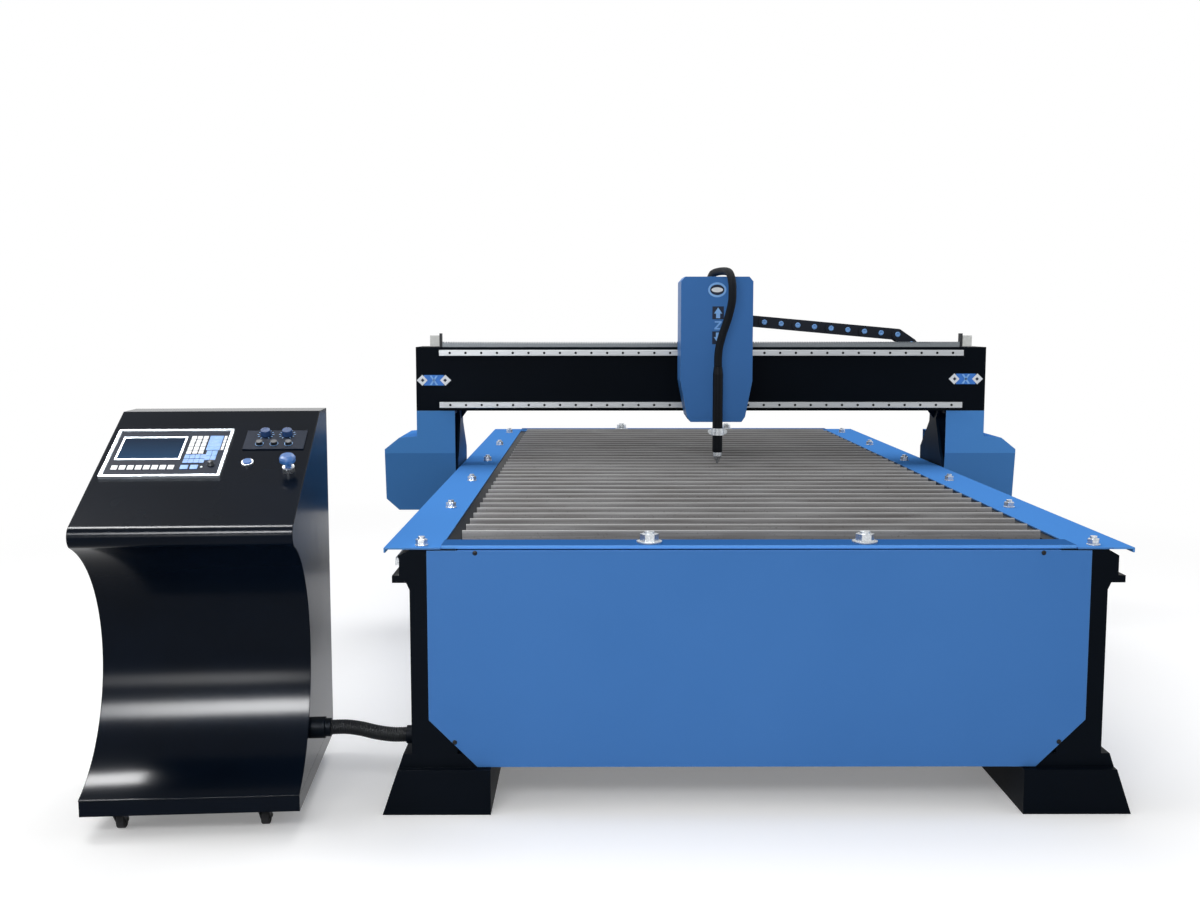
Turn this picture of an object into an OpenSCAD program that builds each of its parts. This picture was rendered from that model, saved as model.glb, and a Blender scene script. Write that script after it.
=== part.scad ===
// CNC plasma cutting table with a moving gantry, a torch on a lifting axis and a console on casters.
// Millimetres. +X to the right, +Y away from the front, +Z up, floor at Z = 0.

/* [Table] */
// Length of the table from front panel to rear panel
table_len = 3456; // [3300:1:3600]
// Height of the side flanges above the floor
flange_top = 674; // [650:1:700]
// Width of each side flange
flange_w = 140; // [120:1:160]
// Overhang of the flange beyond the leg
flange_over = 62; // [55:1:65]
// Thickness of the flange sheet
flange_t = 4; // [3:0.5:6]
// Width of the front panel
panel_w = 1643; // [1560:1:1680]
// Height of the front panel's lower edge
panel_low = 117; // [100:1:130]
// Drop of the front panel's upper edge below the flange tops
panel_drop = 7; // [5:0.5:10]
// Size of the cut lower corners of the panel
panel_cut = 121; // [80:1:140]
// Thickness of panel and strip sheet
sheet_t = 2.5; // [1.5:0.5:3]
// Depth of the flange's folded outer edge
flange_lip = 12; // [8:1:14]

/* [Frame] */
// Width of the side beams and legs
beam_tube_w = 114; // [100:1:130]
// Height of the side beams
side_beam_h = 200; // [180:1:220]
// Wall of the side beams and legs
tube_wall = 8; // [5:0.5:10]
// Depth of each leg along the table
leg_depth = 100; // [80:1:120]
// Height of the feet
foot_h = 150; // [140:1:165]
// Width of a foot at the floor
foot_w = 271; // [250:1:280]
// Spread of a foot beyond the leg at the floor
foot_spread = 73; // [60:1:80]
// Ledge of a foot beside the leg
foot_ledge = 22; // [15:1:30]
// Length of a foot along the table
foot_len = 400; // [350:1:420]
// Reach of the front foot ahead of the panel
foot_ahead = 18; // [10:1:25]
// Thickness of the rail seat bar
seat_t = 25; // [20:1:28]
// Height of the rail seat bar
seat_h = 50; // [46:1:54]
// Reach of the rack ledge beyond the leg
ledge_reach = 43; // [40:1:45]
// Thickness of the rack ledge
ledge_t = 18; // [14:1:20]

/* [Bed] */
// Length of a slat
slat_len = 1500; // [1400:1:1520]
// Height of a slat
slat_h = 100; // [90:1:110]
// Thickness of a slat
slat_t = 6; // [4:0.5:8]
// Distance from one slat to the next
slat_pitch = 100; // [80:1:150]
// Height of the slat tops above the flange tops
slat_rise = 16; // [10:1:20]
// Place of the first slat behind the front panel
slat_first = 165; // [150:1:180]
// Distance from one flange bolt to the next
bolt_pitch = 640; // [600:1:660]
// Width of a flange bolt's hexagon across its corners
bolt_hex = 30; // [24:1:34]
// Width of a strip bolt's hexagon across its corners
strip_bolt_hex = 47; // [36:1:52]

/* [Gantry] */
// Place of the gantry beam's front face at rest
gantry_y = 1757; // [1700:1:1800]
// Width of the columns in the gantry's legs
column_w = 130; // [110:1:150]
// Height of the beam's underside
beam_low = 889; // [870:1:910]
// Height of the beam section
beam_h = 244; // [230:1:260]
// Depth of the beam section
beam_d = 200; // [180:1:210]
// Distance from an X rail's end to the beam's end
x_rail_inset = 91; // [80:1:140]
// Width of the linear rails
rail_w = 20; // [18:1:23]
// Height of the linear rails
rail_h = 18; // [15:0.5:20]
// Distance from a rail's seat to the top of its blocks
block_h = 30; // [28:1:32]
// Module of the racks and pinions
gear_module = 3; // [3:0.5:3.5]
// Teeth on each pinion
pinion_teeth = 18; // [17:1:20]
// Height of the racks
rack_h = 20; // [18:1:22]
// Reach of a leg cover beyond the beam's end
cover_reach = 125; // [100:1:140]
// Height of the leg cover's lower edge
cover_low = 500; // [490:1:505]
// Thickness of the cover sheets
cover_t = 2; // [1.5:0.5:3]

/* [Carriage] */
// Place of the torch across the table at rest
torch_x = 40; // [0:1:60]
// Width of the lifting axis cover
z_cover_w = 264; // [250:1:280]
// Height of the cover's lower edge
z_cover_low = 861; // [855:1:870]
// Height of the cover's upper edge
z_cover_top = 1393; // [1370:1:1410]
// Depth of the cover
z_cover_d = 176; // [170:1:180]
// Gap between the cover and the beam's front face
z_cover_gap = 24; // [22:1:28]
// Diameter of the torch
torch_d = 37; // [32:1:40]
// Height of the torch tip at rest
torch_tip = 715; // [705:1:730]
// Distance from the cover's front to the torch centre
torch_ahead = 57; // [50:1:60]
// Diameter of the torch lead
lead_d = 29; // [24:1:30]

/* [Chain] */
// Length of one link between its pins
link_pitch = 67; // [60:1:70]
// Height of a link
link_h = 45; // [40:1:46]
// Width of the chain
link_w = 70; // [60:1:74]
// Slope of the chain's upper run
chain_slope = 5.2; // [3:0.1:6]

/* [Console] */
// Width of the console
console_w = 516; // [480:1:540]
// Depth of the console
console_d = 585; // [560:1:600]
// Height of the console
console_h = 990; // [960:1:1020]
// Turn of the console towards the table
console_turn = 4; // [0:0.5:6]
// Way between the console and the table
console_gap = 249; // [200:1:300]
// Depth of the console's flat top behind the desk
top_d = 114; // [100:1:130]
// Radius of the hollow front
hollow_r = 320; // [315:1:330]
// Radius of the desk's nose
nose_r = 28; // [24:1:32]
// Height of the plinth's underside
plinth_low = 60; // [58:1:64]
// Height of the plinth
plinth_h = 40; // [36:1:44]
// Radius of a caster wheel
wheel_r = 21; // [19:0.5:22]
// Width of a caster wheel
wheel_w = 20; // [16:1:22]
// Outer diameter of the hose
hose_d = 38; // [34:1:40]

/* [Hidden] */
$fn = 48;
// Clearances: running shafts, sliding pieces, loose holes and a cut's overrun
run = 0.05;
slip = 0.3;
loose = 0.5;
cut = 1;

// Table heights and places
slat_gap = 1;
half_w = slat_len / 2 + slat_gap + beam_tube_w;
flange_out = half_w + flange_over;
flange_in = flange_out - flange_w;
beam_top = flange_top - flange_t;
side_low = beam_top - side_beam_h;
tube_in = half_w - beam_tube_w;
panel_top = flange_top - panel_drop;
leg_places = [sheet_t, (table_len - leg_depth) / 2, table_len - sheet_t - leg_depth];
lip = 20;

// Rail seat and rack on the outer face of the side beams
seat_out = half_w + seat_t;
seat_top = beam_top - 16;
seat_low = seat_top - seat_h;
rail_z = (seat_top + seat_low) / 2;
ledge_low = seat_low - ledge_t;
rail_start = 60;
rack_start = 100;
rack_w = 22;
rack_x = half_w + 11;

// Bed
slat_top = flange_top + slat_rise;
slat_low = slat_top - slat_h;
slat_count = floor((table_len - 2 * slat_first) / slat_pitch) + 1;
comb_t = 8;
comb_x = [-slat_len / 2 + 40, 0, slat_len / 2 - 40];
comb_low = slat_low - 60;
comb_top = slat_low + 50;
cross_h = 40;
cross_w = 60;
cross_count = 7;
cross_wall = 4;
strip_front = 8;
strip_d = 84;
strip_h = 9;
end_beam_h = 60;
tray_floor = side_low - 140;
bolt_x = half_w - 27;
bolt_first = 36;
bolt_count = floor((table_len - 2 * bolt_first) / bolt_pitch) + 1;
bolt_shank_r = 8;
strip_bolt_x = 270;

// Gear teeth
tooth_pitch = PI * gear_module;
pressure = 20;
backlash = 0.3;
pinion_r = gear_module * pinion_teeth / 2;
pinion_shaft_r = 8;

// Gantry
leg_x = flange_out + 8;
leg_t = 10;
leg_run = 336;
leg_step = 168;
leg_crease = 164;
leg_heel = 189;
leg_back = gantry_y + leg_run;
leg_mid = gantry_y + leg_run / 2 + 1;
y_pinion_z = ledge_low - rack_h + gear_module - pinion_r;
y_block_len = 78;
y_block_w = 44;
block_offset = 110;
drive_w = 60;
gearbox_len = 90;
servo_len = 125;
column_step = 17;
column_h = 250;
column_at = 108;
beam_len = 2 * (leg_x + leg_t + column_w + column_step);
x_rail_len = beam_len - 2 * x_rail_inset;
cover_out = beam_len / 2 + cover_reach;
cover_shoulder = beam_low - 99;
beam_up = beam_low + beam_h;
beam_back = gantry_y + beam_d;
beam_wall = 6;
x_rail_high = beam_up - 22;
x_rail_low = beam_low + 23;
x_rack_y = gantry_y + 5;
stop_x = x_rail_len / 2;
stop_h = 52;

// Carriage
plate_w = 170;
plate_t = 12;
plate_back = gantry_y - block_h;
plate_front = plate_back - plate_t;
plate_low = beam_low - 11;
plate_top = beam_up + 17;
ear_top = beam_up + 107;
ear_in = 38;
x_block_len = 70;
x_block_w = 44;
x_block_offset = 50;
x_pinion_x = torch_x + 72;
x_pinion_z = beam_up + rack_h - gear_module + pinion_r;
z_rail_w = 15;
z_rail_h = 13;
z_rail_x = 38;
screw_r = 8;
screw_y = plate_front - 17;
screw_low = z_cover_low + 19;
nut_low = z_cover_low + 64;
nut_h = 40;
slide_t = 10;
slide_back = plate_front - 28;
slide_w = 120;
slide_low = z_cover_low + 14;
slide_h = 148;
lift_up = 120;
motor_low = plate_top + 8;
z_motor_h = 100;
bracket_z = beam_up + 82;
bracket_t = 6;
bracket_back = beam_back + 5;
lead_gland = [32, 1797];
lead_gland_h = 24;

// Lifting axis cover and torch
z_cover_back = gantry_y - z_cover_gap;
z_cover_front = z_cover_back - z_cover_d;
torch_y = z_cover_front - torch_ahead;
z_taper = 151;
slot_w = 26;
arm_w = 22;
arm_low = z_cover_low + 19;
arm_h = 25;
torch_len = 351;
torch_top = torch_tip + torch_len;
shield_top = torch_tip + 40;
clamp_low = torch_tip + 103;
clamp_h = 25;

// Drag chain behind the beam: upper run, a bend of three links and a lower run in the tray
chain_y = beam_back + 53;
chain_end = [804, beam_up + 46];
upper_run = 670;
lower_run = 804;
upper_links = round(upper_run / link_pitch);
lower_links = round(lower_run / link_pitch);
bend_links = 3;
bend_step = (180 - chain_slope) / bend_links;
link_plate = 6;
pin_r = 9;
function link_angle(i) =
    i < upper_links ? -chain_slope
    : i < upper_links + bend_links ? -chain_slope - bend_step * (i - upper_links + 0.5)
    : -180;
function chain_point(i) =
    i == upper_links ? chain_end
    : i > upper_links ? chain_point(i - 1) + link_pitch * [cos(link_angle(i - 1)), sin(link_angle(i - 1))]
    : chain_end - (upper_links - i) * link_pitch * [cos(chain_slope), -sin(chain_slope)];
chain_start = chain_point(0);
chain_low = chain_point(upper_links + bend_links);
chain_fixed = chain_low[0] - lower_links * link_pitch;
tray_top = chain_low[1] - link_h / 2 - loose;
tray_t = 3;
tray_wall = 30;
tray_reach = 60;

// Console
console_at = [-half_w - console_gap - console_w * cos(console_turn), -181];
shell_t = 2;
plinth_top = plinth_low + plinth_h;
plinth_set = 4;
hollow_c = [-98.6, 405];
nose_angle = 68.8;
nose_bite = 0.02;
nose_c = hollow_c + (hollow_r + nose_r) * [cos(nose_angle), sin(nose_angle)];
desk_to = [console_d - top_d, console_h] - nose_c;
desk_slope = atan2(desk_to[1], desk_to[0]) - asin(nose_r / norm(desk_to));
desk_foot = nose_c + nose_r * [-sin(desk_slope), cos(desk_slope)];
plate_size = [154, 88];
plate_at = [console_w - plate_size[0] - 19, 322];
control_at = [17, 196];
control_size = [plate_at[0] - 34 - control_at[0], 216];
control_t = 8;
height_t = 3;
dial_x = [plate_at[0] + 49, plate_at[0] + 104];
dial_up = 391;
dial_r = 14;
dial_h = 14;
dial_shaft_r = 3;
button_x = [for (i = [0 : 2]) plate_at[0] + 39 + 37 * i];
button_up = 347;
button_r = 8;
push_at = [plate_at[0] + 24, 258];
push_r = 11;
stop_at = [plate_at[0] + 131, 224];
stop_r = 20;
stop_stem_r = 8;
collar_r = 15;
caster_x = [75, console_w - 95];
caster_y = [62, console_d - 70];
caster_trail = 22;
king_r = 6;
axle_r = 4;
fork_t = 2.5;
crown_r = 24;
gland_d = 205;
gland_z = 200;
gland_r = 27;
gland_len = 50;
leg_gland_at = [-half_w, 60, foot_h + 32];
leg_gland_len = 20;

// Route of the hose from the console's fitting to the fitting on the front left leg
console_ax = [cos(console_turn), sin(console_turn), 0];
console_ay = [-sin(console_turn), cos(console_turn), 0];
hose_start = [console_at[0], console_at[1], gland_z] + (console_w + gland_len + slip) * console_ax
    + gland_d * console_ay;
hose_end = leg_gland_at - [leg_gland_len + slip, 0, 0];
hose_route = [hose_start, hose_start + hose_d * console_ax, hose_end + [-118, 6, 13],
    hose_end + [-78, 2, 5], hose_end - [hose_d, 0, 0], hose_end];
hose_ribs = 34;
hose_sides = 8;
hose_groove = 2.5;
hose_wall = 5;
// Route of the torch lead, up the front of the cover, over its top and down behind it
lead_route = [[torch_x, torch_y, torch_top + slip], [40, 1500, 1105], [45, 1499, 1145], [57, 1497, 1190],
    [72, 1494, 1235], [82, 1489, 1275], [87, 1486, 1305], [88, 1487, 1330], [88, 1493, 1360],
    [86, 1511, 1387], [82, 1538, 1405], [76, 1572, 1412], [66, 1620, 1415], [54, 1668, 1415],
    [43, 1714, 1412], [38, 1746, 1406], [34, 1773, 1389], [32, 1791, 1362], [32, 1797, 1330],
    [32, 1797, 1290], [lead_gland[0], lead_gland[1], bracket_z + bracket_t + lead_gland_h]];

// The whole part stands with the centre of its footprint on the origin
origin = [(console_at[0] - console_d * sin(console_turn) + cover_out) / 2,
    (console_at[1] + table_len + foot_ahead) / 2];

// Frames
module in_frame() {
    translate([-origin[0], -origin[1], 0])
        children();
}

module both_sides() {
    children();
    mirror([1, 0, 0])
        children();
}

module both_ends() {
    children();
    translate([0, table_len, 0])
        mirror([0, 1, 0])
            children();
}

module at_console() {
    in_frame()
        translate([console_at[0], console_at[1], 0])
            rotate([0, 0, console_turn])
                children();
}

module on_desk() {
    at_console()
        translate([0, desk_foot[0], desk_foot[1]])
            rotate([desk_slope, 0, 0])
                children();
}

// A box between two corners
module block(low, high) {
    translate(low)
        cube(high - low);
}

// A profile in Y and Z drawn along X from one place to another
module along_x(from, to) {
    translate([from, 0, 0])
        rotate([90, 0, 90])
            linear_extrude(to - from)
                children();
}

// A profile in X and Z drawn along Y from one place to another
module along_y(from, to) {
    translate([0, to, 0])
        rotate([90, 0, 0])
            linear_extrude(to - from)
                children();
}

// A rod along X or along Y
module rod_x(from, to, r) {
    translate([from, 0, 0])
        rotate([0, 90, 0])
            cylinder(h = to - from, r = r);
}

module rod_y(from, to, r) {
    translate([0, to, 0])
        rotate([90, 0, 0])
            cylinder(h = to - from, r = r);
}

// Linear rail section, seat on the horizontal axis, with its waisted ball tracks
module rail_section(w, h) {
    polygon([[-w / 2, 0], [w / 2, 0], [w / 2, 0.4 * h], [w / 2 - 2, 0.55 * h], [w / 2, 0.75 * h],
        [w / 2, h - 1], [w / 2 - 1, h], [1 - w / 2, h], [-w / 2, h - 1], [-w / 2, 0.75 * h],
        [2 - w / 2, 0.55 * h], [-w / 2, 0.4 * h]]);
}

// Rack outline: teeth point up, a gap is centred on zero, the back lies on the horizontal axis
function rack_points(from, to) = let(
        first = ceil((from + tooth_pitch) / tooth_pitch),
        last = floor((to - tooth_pitch) / tooth_pitch),
        tip = rack_h,
        root = rack_h - 2.25 * gear_module,
        at_tip = tooth_pitch / 4 + backlash / 2 + gear_module * tan(pressure),
        at_root = tooth_pitch / 4 + backlash / 2 - 1.25 * gear_module * tan(pressure))
    concat([[to, 0], [from, 0], [from, tip]],
        [for (k = [first : last]) each [[k * tooth_pitch - at_tip, tip], [k * tooth_pitch - at_root, root],
            [k * tooth_pitch + at_root, root], [k * tooth_pitch + at_tip, tip]]],
        [[to, tip]]);

// Pinion outline with involute flanks, one tooth centred on the vertical axis
function involute(angle) = tan(angle) * 180 / PI - angle;
function flank_half(r) = 90 / pinion_teeth + involute(pressure)
    - involute(acos(min(1, pinion_r * cos(pressure) / r)));
pinion_base_r = pinion_r * cos(pressure);
pinion_tip_r = pinion_r + gear_module;
pinion_root_r = pinion_r - 1.25 * gear_module;
flank_radii = [pinion_root_r, for (i = [0 : 4]) pinion_base_r + (pinion_tip_r - pinion_base_r) * i / 4];
function polar(r, a) = r * [cos(a), sin(a)];
pinion_outline = [for (k = [0 : pinion_teeth - 1]) let(mid = 90 + 360 * k / pinion_teeth) each concat(
    [for (r = flank_radii) polar(r, mid - flank_half(max(r, pinion_base_r)))],
    [for (i = [len(flank_radii) - 1 : -1 : 0])
        polar(flank_radii[i], mid + flank_half(max(flank_radii[i], pinion_base_r)))])];

// Closed tube swept along a route, with a bore where one is given and a radius for each ring
function unit(v) = v / norm(v);
function ring_points(c, dir, ref, r, sides) = let(
        side = unit(cross(dir, ref)),
        up = cross(side, dir))
    [for (k = [0 : sides - 1]) c + r * (cos(360 * k / sides) * side + sin(360 * k / sides) * up)];
function route_dir(route, i) = unit(route[min(i + 1, len(route) - 1)] - route[max(i - 1, 0)]);

// A smooth curve through the points of a route, and its direction
function smooth_at(route, u) = let(
        i = min(floor(u), len(route) - 2),
        f = u - i,
        a = route[max(i - 1, 0)],
        b = route[i],
        c = route[i + 1],
        d = route[min(i + 2, len(route) - 1)])
    b + f / 2 * ((c - a) + f * ((2 * a - 5 * b + 4 * c - d) + f * (3 * (b - c) + d - a)));
function smooth_dir(route, u) = let(
        i = min(floor(u), len(route) - 2),
        f = u - i,
        a = route[max(i - 1, 0)],
        b = route[i],
        c = route[i + 1],
        d = route[min(i + 2, len(route) - 1)])
    unit((c - a) + f * (2 * (2 * a - 5 * b + 4 * c - d) + f * 3 * (3 * (b - c) + d - a)));

module solid_tube(route, r, ref, sides) {
    n = len(route);
    points = [for (i = [0 : n - 1]) each ring_points(route[i], route_dir(route, i), ref, r, sides)];
    walls = [for (i = [0 : n - 2], k = [0 : sides - 1])
        let(a = i * sides + k, b = i * sides + (k + 1) % sides)
        each [[a, b, b + sides], [a, b + sides, a + sides]]];
    start = [for (k = [1 : sides - 2]) [0, k + 1, k]];
    finish = [for (k = [1 : sides - 2]) (n - 1) * sides * [1, 1, 1] + [0, k, k + 1]];
    polyhedron(points, concat(walls, start, finish));
}

// The welded frame under the bed: six legs on splayed feet
module leg() {
    difference() {
        block([tube_in, 0, foot_h], [half_w, leg_depth, side_low]);
        block([tube_in + tube_wall, tube_wall, foot_h - cut],
            [half_w - tube_wall, leg_depth - tube_wall, side_low + cut]);
    }
}

function foot_outline(low, high, inset) = let(slope = (foot_spread - foot_ledge) / foot_h)
    [[half_w + foot_spread - foot_w + inset, low], [half_w + foot_spread - slope * low - inset, low],
        [half_w + foot_spread - slope * high - inset, high], [half_w + foot_spread - foot_w + inset, high]];

module foot(ahead) {
    shelf = panel_low - 2;
    difference() {
        union() {
            along_y(-ahead, foot_len - ahead)
                polygon(foot_outline(0, shelf, 0));
            along_y(0, foot_len - ahead)
                polygon(foot_outline(shelf, foot_h, 0));
        }
        along_y(tube_wall - ahead, foot_len)
            polygon(foot_outline(tube_wall, shelf - tube_wall, tube_wall));
        along_y(tube_wall, foot_len)
            polygon(foot_outline(shelf - tube_wall - cut, foot_h - tube_wall, tube_wall));
    }
}

module leg_frames() {
    color("#15171a")
        in_frame()
            both_sides() {
                for (y = leg_places)
                    translate([0, y, 0])
                        leg();
                both_ends()
                    translate([0, sheet_t, 0])
                        foot(foot_ahead + sheet_t);
                translate([0, (table_len - foot_len) / 2, 0])
                    foot(0);
            }
}

// Box section side beams, each with the machined rail seat and rack ledge along its outer face
module side_beams() {
    color("#15171a")
        in_frame()
            both_sides()
                difference() {
                    along_y(sheet_t, table_len - sheet_t)
                        polygon([[tube_in, side_low], [half_w, side_low], [half_w, ledge_low - ledge_t],
                            [half_w + 8, ledge_low], [half_w + ledge_reach, ledge_low],
                            [half_w + ledge_reach, seat_low], [seat_out, seat_low], [seat_out, seat_top],
                            [half_w, beam_top - 2], [half_w, beam_top], [tube_in, beam_top]]);
                    along_y(sheet_t + tube_wall, table_len - sheet_t - tube_wall)
                        polygon([[tube_in + tube_wall, side_low + tube_wall],
                            [half_w - tube_wall, side_low + tube_wall],
                            [half_w - tube_wall, beam_top - tube_wall],
                            [tube_in + tube_wall, beam_top - tube_wall]]);
                    for (i = [0 : bolt_count - 1])
                        translate([bolt_x, bolt_first + i * bolt_pitch, beam_top - tube_wall - cut])
                            cylinder(h = tube_wall + 2 * cut, r = bolt_shank_r + loose);
                }
}

// Cross tubes between the side beams, and the end beams behind the end panels
module cross_tubes() {
    first = slat_first + slat_pitch / 2;
    span = (table_len - 2 * first) / (cross_count - 1);
    color("#2b2d30")
        in_frame() {
            for (i = [0 : cross_count - 1])
                translate([0, first + i * span, 0])
                    difference() {
                        block([-tube_in, -cross_w / 2, comb_low - cross_h], [tube_in, cross_w / 2, comb_low]);
                        block([-tube_in - cut, cross_wall - cross_w / 2, comb_low - cross_h + cross_wall],
                            [tube_in + cut, cross_w / 2 - cross_wall, comb_low - cross_wall]);
                    }
            both_ends()
                difference() {
                    block([-tube_in, sheet_t + lip, beam_top - end_beam_h],
                        [tube_in, strip_front + strip_d, beam_top]);
                    block([-tube_in - cut, sheet_t + lip + cross_wall, beam_top - end_beam_h + cross_wall],
                        [tube_in + cut, strip_front + strip_d - cross_wall, beam_top - cross_wall]);
                }
        }
}

// Slotted combs that hold the slats upright
module slat_combs() {
    color("#2b2d30")
        in_frame()
            for (x = comb_x)
                difference() {
                    block([x - comb_t / 2, strip_front + strip_d, comb_low],
                        [x + comb_t / 2, table_len - strip_front - strip_d, comb_top]);
                    for (i = [0 : slat_count - 1])
                        translate([x, slat_first + i * slat_pitch, slat_low])
                            block([-comb_t, -slat_t / 2 - loose, 0], [comb_t, slat_t / 2 + loose, slat_h]);
                }
}

// Folded pan that catches slag under the slats, hung between the side beams
module slag_tray() {
    rim = comb_low - cross_h - 2;
    first = leg_places[0] + leg_depth + 5;
    last = table_len - first;
    color("#3a3d40")
        in_frame()
            difference() {
                block([-tube_in, first, tray_floor], [tube_in, last, rim]);
                block([sheet_t - tube_in, first + sheet_t, tray_floor + sheet_t],
                    [tube_in - sheet_t, last - sheet_t, rim + cut]);
            }
}

// Steel slats on edge across the bed
module slats() {
    color("#77706c")
        in_frame()
            for (i = [0 : slat_count - 1])
                translate([0, slat_first + i * slat_pitch, 0])
                    block([-slat_len / 2, -slat_t / 2, slat_low], [slat_len / 2, slat_t / 2, slat_top]);
}

// End panel sheet with cut lower corners and folded upper and lower lips
module end_panel() {
    half = panel_w / 2;
    along_y(0, sheet_t)
        polygon([[panel_cut - half, panel_low], [half - panel_cut, panel_low], [half, panel_low + panel_cut],
            [half, panel_top], [-half, panel_top], [-half, panel_low + panel_cut]]);
    block([5 - tube_in, 0, panel_top - sheet_t], [tube_in - 5, sheet_t + lip, panel_top]);
    lower = half_w + foot_spread - foot_w - 10;
    block([-lower, 0, panel_low], [lower, sheet_t + lip, panel_low + sheet_t]);
}

module front_panel() {
    color("#3f74b5")
        in_frame()
            end_panel();
}

// Rear end panel and the panels between the legs along each side
module skirt_panels() {
    color("#3f74b5")
        in_frame() {
            translate([0, table_len, 0])
                mirror([0, 1, 0])
                    end_panel();
            both_sides()
                for (i = [0, 1])
                    block([half_w - 2 * sheet_t, leg_places[i] + leg_depth, panel_low + foot_h / 2],
                        [half_w - sheet_t, leg_places[i + 1], side_low]);
        }
}

// Rim of the bed in folded sheet: a flange bolted along each side beam, and a strip across each end
module bed_rim() {
    color("#3f86d8")
        in_frame() {
            both_sides()
                difference() {
                    union() {
                        block([flange_in, 0, beam_top], [flange_out, table_len, flange_top]);
                        block([flange_out - flange_t, 0, flange_top - flange_lip],
                            [flange_out, table_len, flange_top]);
                    }
                    for (i = [0 : bolt_count - 1])
                        translate([bolt_x, bolt_first + i * bolt_pitch, beam_top - cut])
                            cylinder(h = flange_t + 2 * cut, r = bolt_shank_r + loose);
                }
            both_ends()
                difference() {
                    block([loose - flange_in, strip_front, beam_top],
                        [flange_in - loose, strip_front + strip_d, beam_top + strip_h]);
                    block([sheet_t - tube_in, strip_front + sheet_t, beam_top - cut],
                        [tube_in - sheet_t, strip_front + strip_d - sheet_t, beam_top + strip_h - sheet_t]);
                }
        }
}

// Flange bolts with washers, and the large bolts that clamp the end strips
module hex_bolt(hex, washer_r, washer_h, head_h, end_h, shank) {
    cylinder(h = washer_h, r = washer_r);
    translate([0, 0, washer_h])
        cylinder(h = head_h, d = hex, $fn = 6);
    translate([0, 0, washer_h + head_h])
        cylinder(h = end_h, r = hex * 0.28);
    if (shank > 0)
        translate([0, 0, -shank])
            cylinder(h = shank, r = bolt_shank_r);
}

module bed_bolts() {
    color("#d5d8da")
        in_frame() {
            both_sides()
                for (i = [0 : bolt_count - 1])
                    translate([bolt_x, bolt_first + i * bolt_pitch, flange_top])
                        hex_bolt(bolt_hex, bolt_hex * 0.55, 3, 13, 7, flange_t + tube_wall);
            both_sides()
                both_ends()
                    translate([strip_bolt_x, strip_front + strip_d / 2, beam_top + strip_h])
                        hex_bolt(strip_bolt_hex, strip_bolt_hex * 0.68, 4, 18, 6, 0);
        }
}

// Linear rails on the outer faces of the rail seats
module y_rails() {
    color("#b9bdc0")
        in_frame()
            both_sides()
                translate([seat_out, 0, rail_z])
                    along_y(rail_start, table_len - rail_start)
                        rotate(-90)
                            rail_section(rail_w, rail_h);
}

// Racks under the ledges, teeth down, with a gap at the pinion's centre
module y_racks() {
    color("#8d9194")
        in_frame()
            both_sides()
                translate([0, leg_mid, ledge_low])
                    mirror([0, 0, 1])
                        along_x(rack_x, rack_x + rack_w)
                            polygon(rack_points(rack_start - leg_mid, table_len - rack_start - leg_mid));
}

// Gantry beam: a closed box section with end plates
module gantry_beam() {
    color("#0d0f13")
        in_frame()
            difference() {
                block([-beam_len / 2, gantry_y, beam_low], [beam_len / 2, beam_back, beam_up]);
                block([beam_wall - beam_len / 2, gantry_y + beam_wall, beam_low + beam_wall],
                    [beam_len / 2 - beam_wall, beam_back - beam_wall, beam_up - beam_wall]);
            }
}

// Two linear rails along the beam's front face
module x_rails() {
    color("#c9cccf")
        in_frame()
            for (z = [x_rail_low, x_rail_high])
                translate([0, gantry_y, z])
                    along_x(-x_rail_len / 2, x_rail_len / 2)
                        rotate(90)
                            rail_section(rail_w + 2, rail_h);
}

// Rack along the top of the beam, teeth up
module x_rack() {
    color("#8d9194")
        in_frame()
            translate([x_pinion_x, 0, beam_up])
                along_y(x_rack_y, x_rack_y + rack_w)
                    polygon(rack_points(-x_rail_len / 2 - x_pinion_x + 10, x_rail_len / 2 - x_pinion_x - 10));
}

// Stop plates with buffer blocks at the ends of the travel
module beam_stops() {
    color("#c6c6c2")
        in_frame()
            both_sides() {
                block([stop_x - 8, gantry_y + 2, beam_up], [stop_x, gantry_y + 34, beam_up + stop_h]);
                block([stop_x, gantry_y + 4, beam_up + 4], [stop_x + 36, gantry_y + 32, beam_up + 44]);
            }
}

// Sheet tray behind the beam that carries the chain's lower run
module chain_tray() {
    outer = chain_y + link_w / 2 + 5;
    from = chain_fixed - tray_reach;
    to = beam_len / 2 - 10;
    color("#1a1c1f")
        in_frame() {
            block([from, beam_back, tray_top - tray_t], [to, outer, tray_top]);
            block([from, beam_back, tray_top - tray_t], [to, beam_back + tray_t, tray_top + tray_wall]);
            block([from, outer - tray_t, tray_top - tray_t], [to, outer, tray_top + tray_wall]);
            block([chain_fixed - link_h / 2 - 12, chain_y - link_w / 2, tray_top - tray_t],
                [chain_fixed - link_h / 2, chain_y + link_w / 2, tray_top + link_h]);
        }
}

// One chain link in X and Z: side plates with round ends, pins at its far end, two cross bars.
// Even links run outside odd ones, and the odd links carry the pins.
module link_plate_shape(bored) {
    difference() {
        union() {
            translate([0, -link_h / 2])
                square([link_pitch, link_h]);
            circle(r = link_h / 2);
            translate([link_pitch, 0])
                circle(r = link_h / 2);
        }
        if (bored) {
            circle(r = pin_r + slip);
            translate([link_pitch, 0])
                circle(r = pin_r + slip);
        }
    }
}

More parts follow.
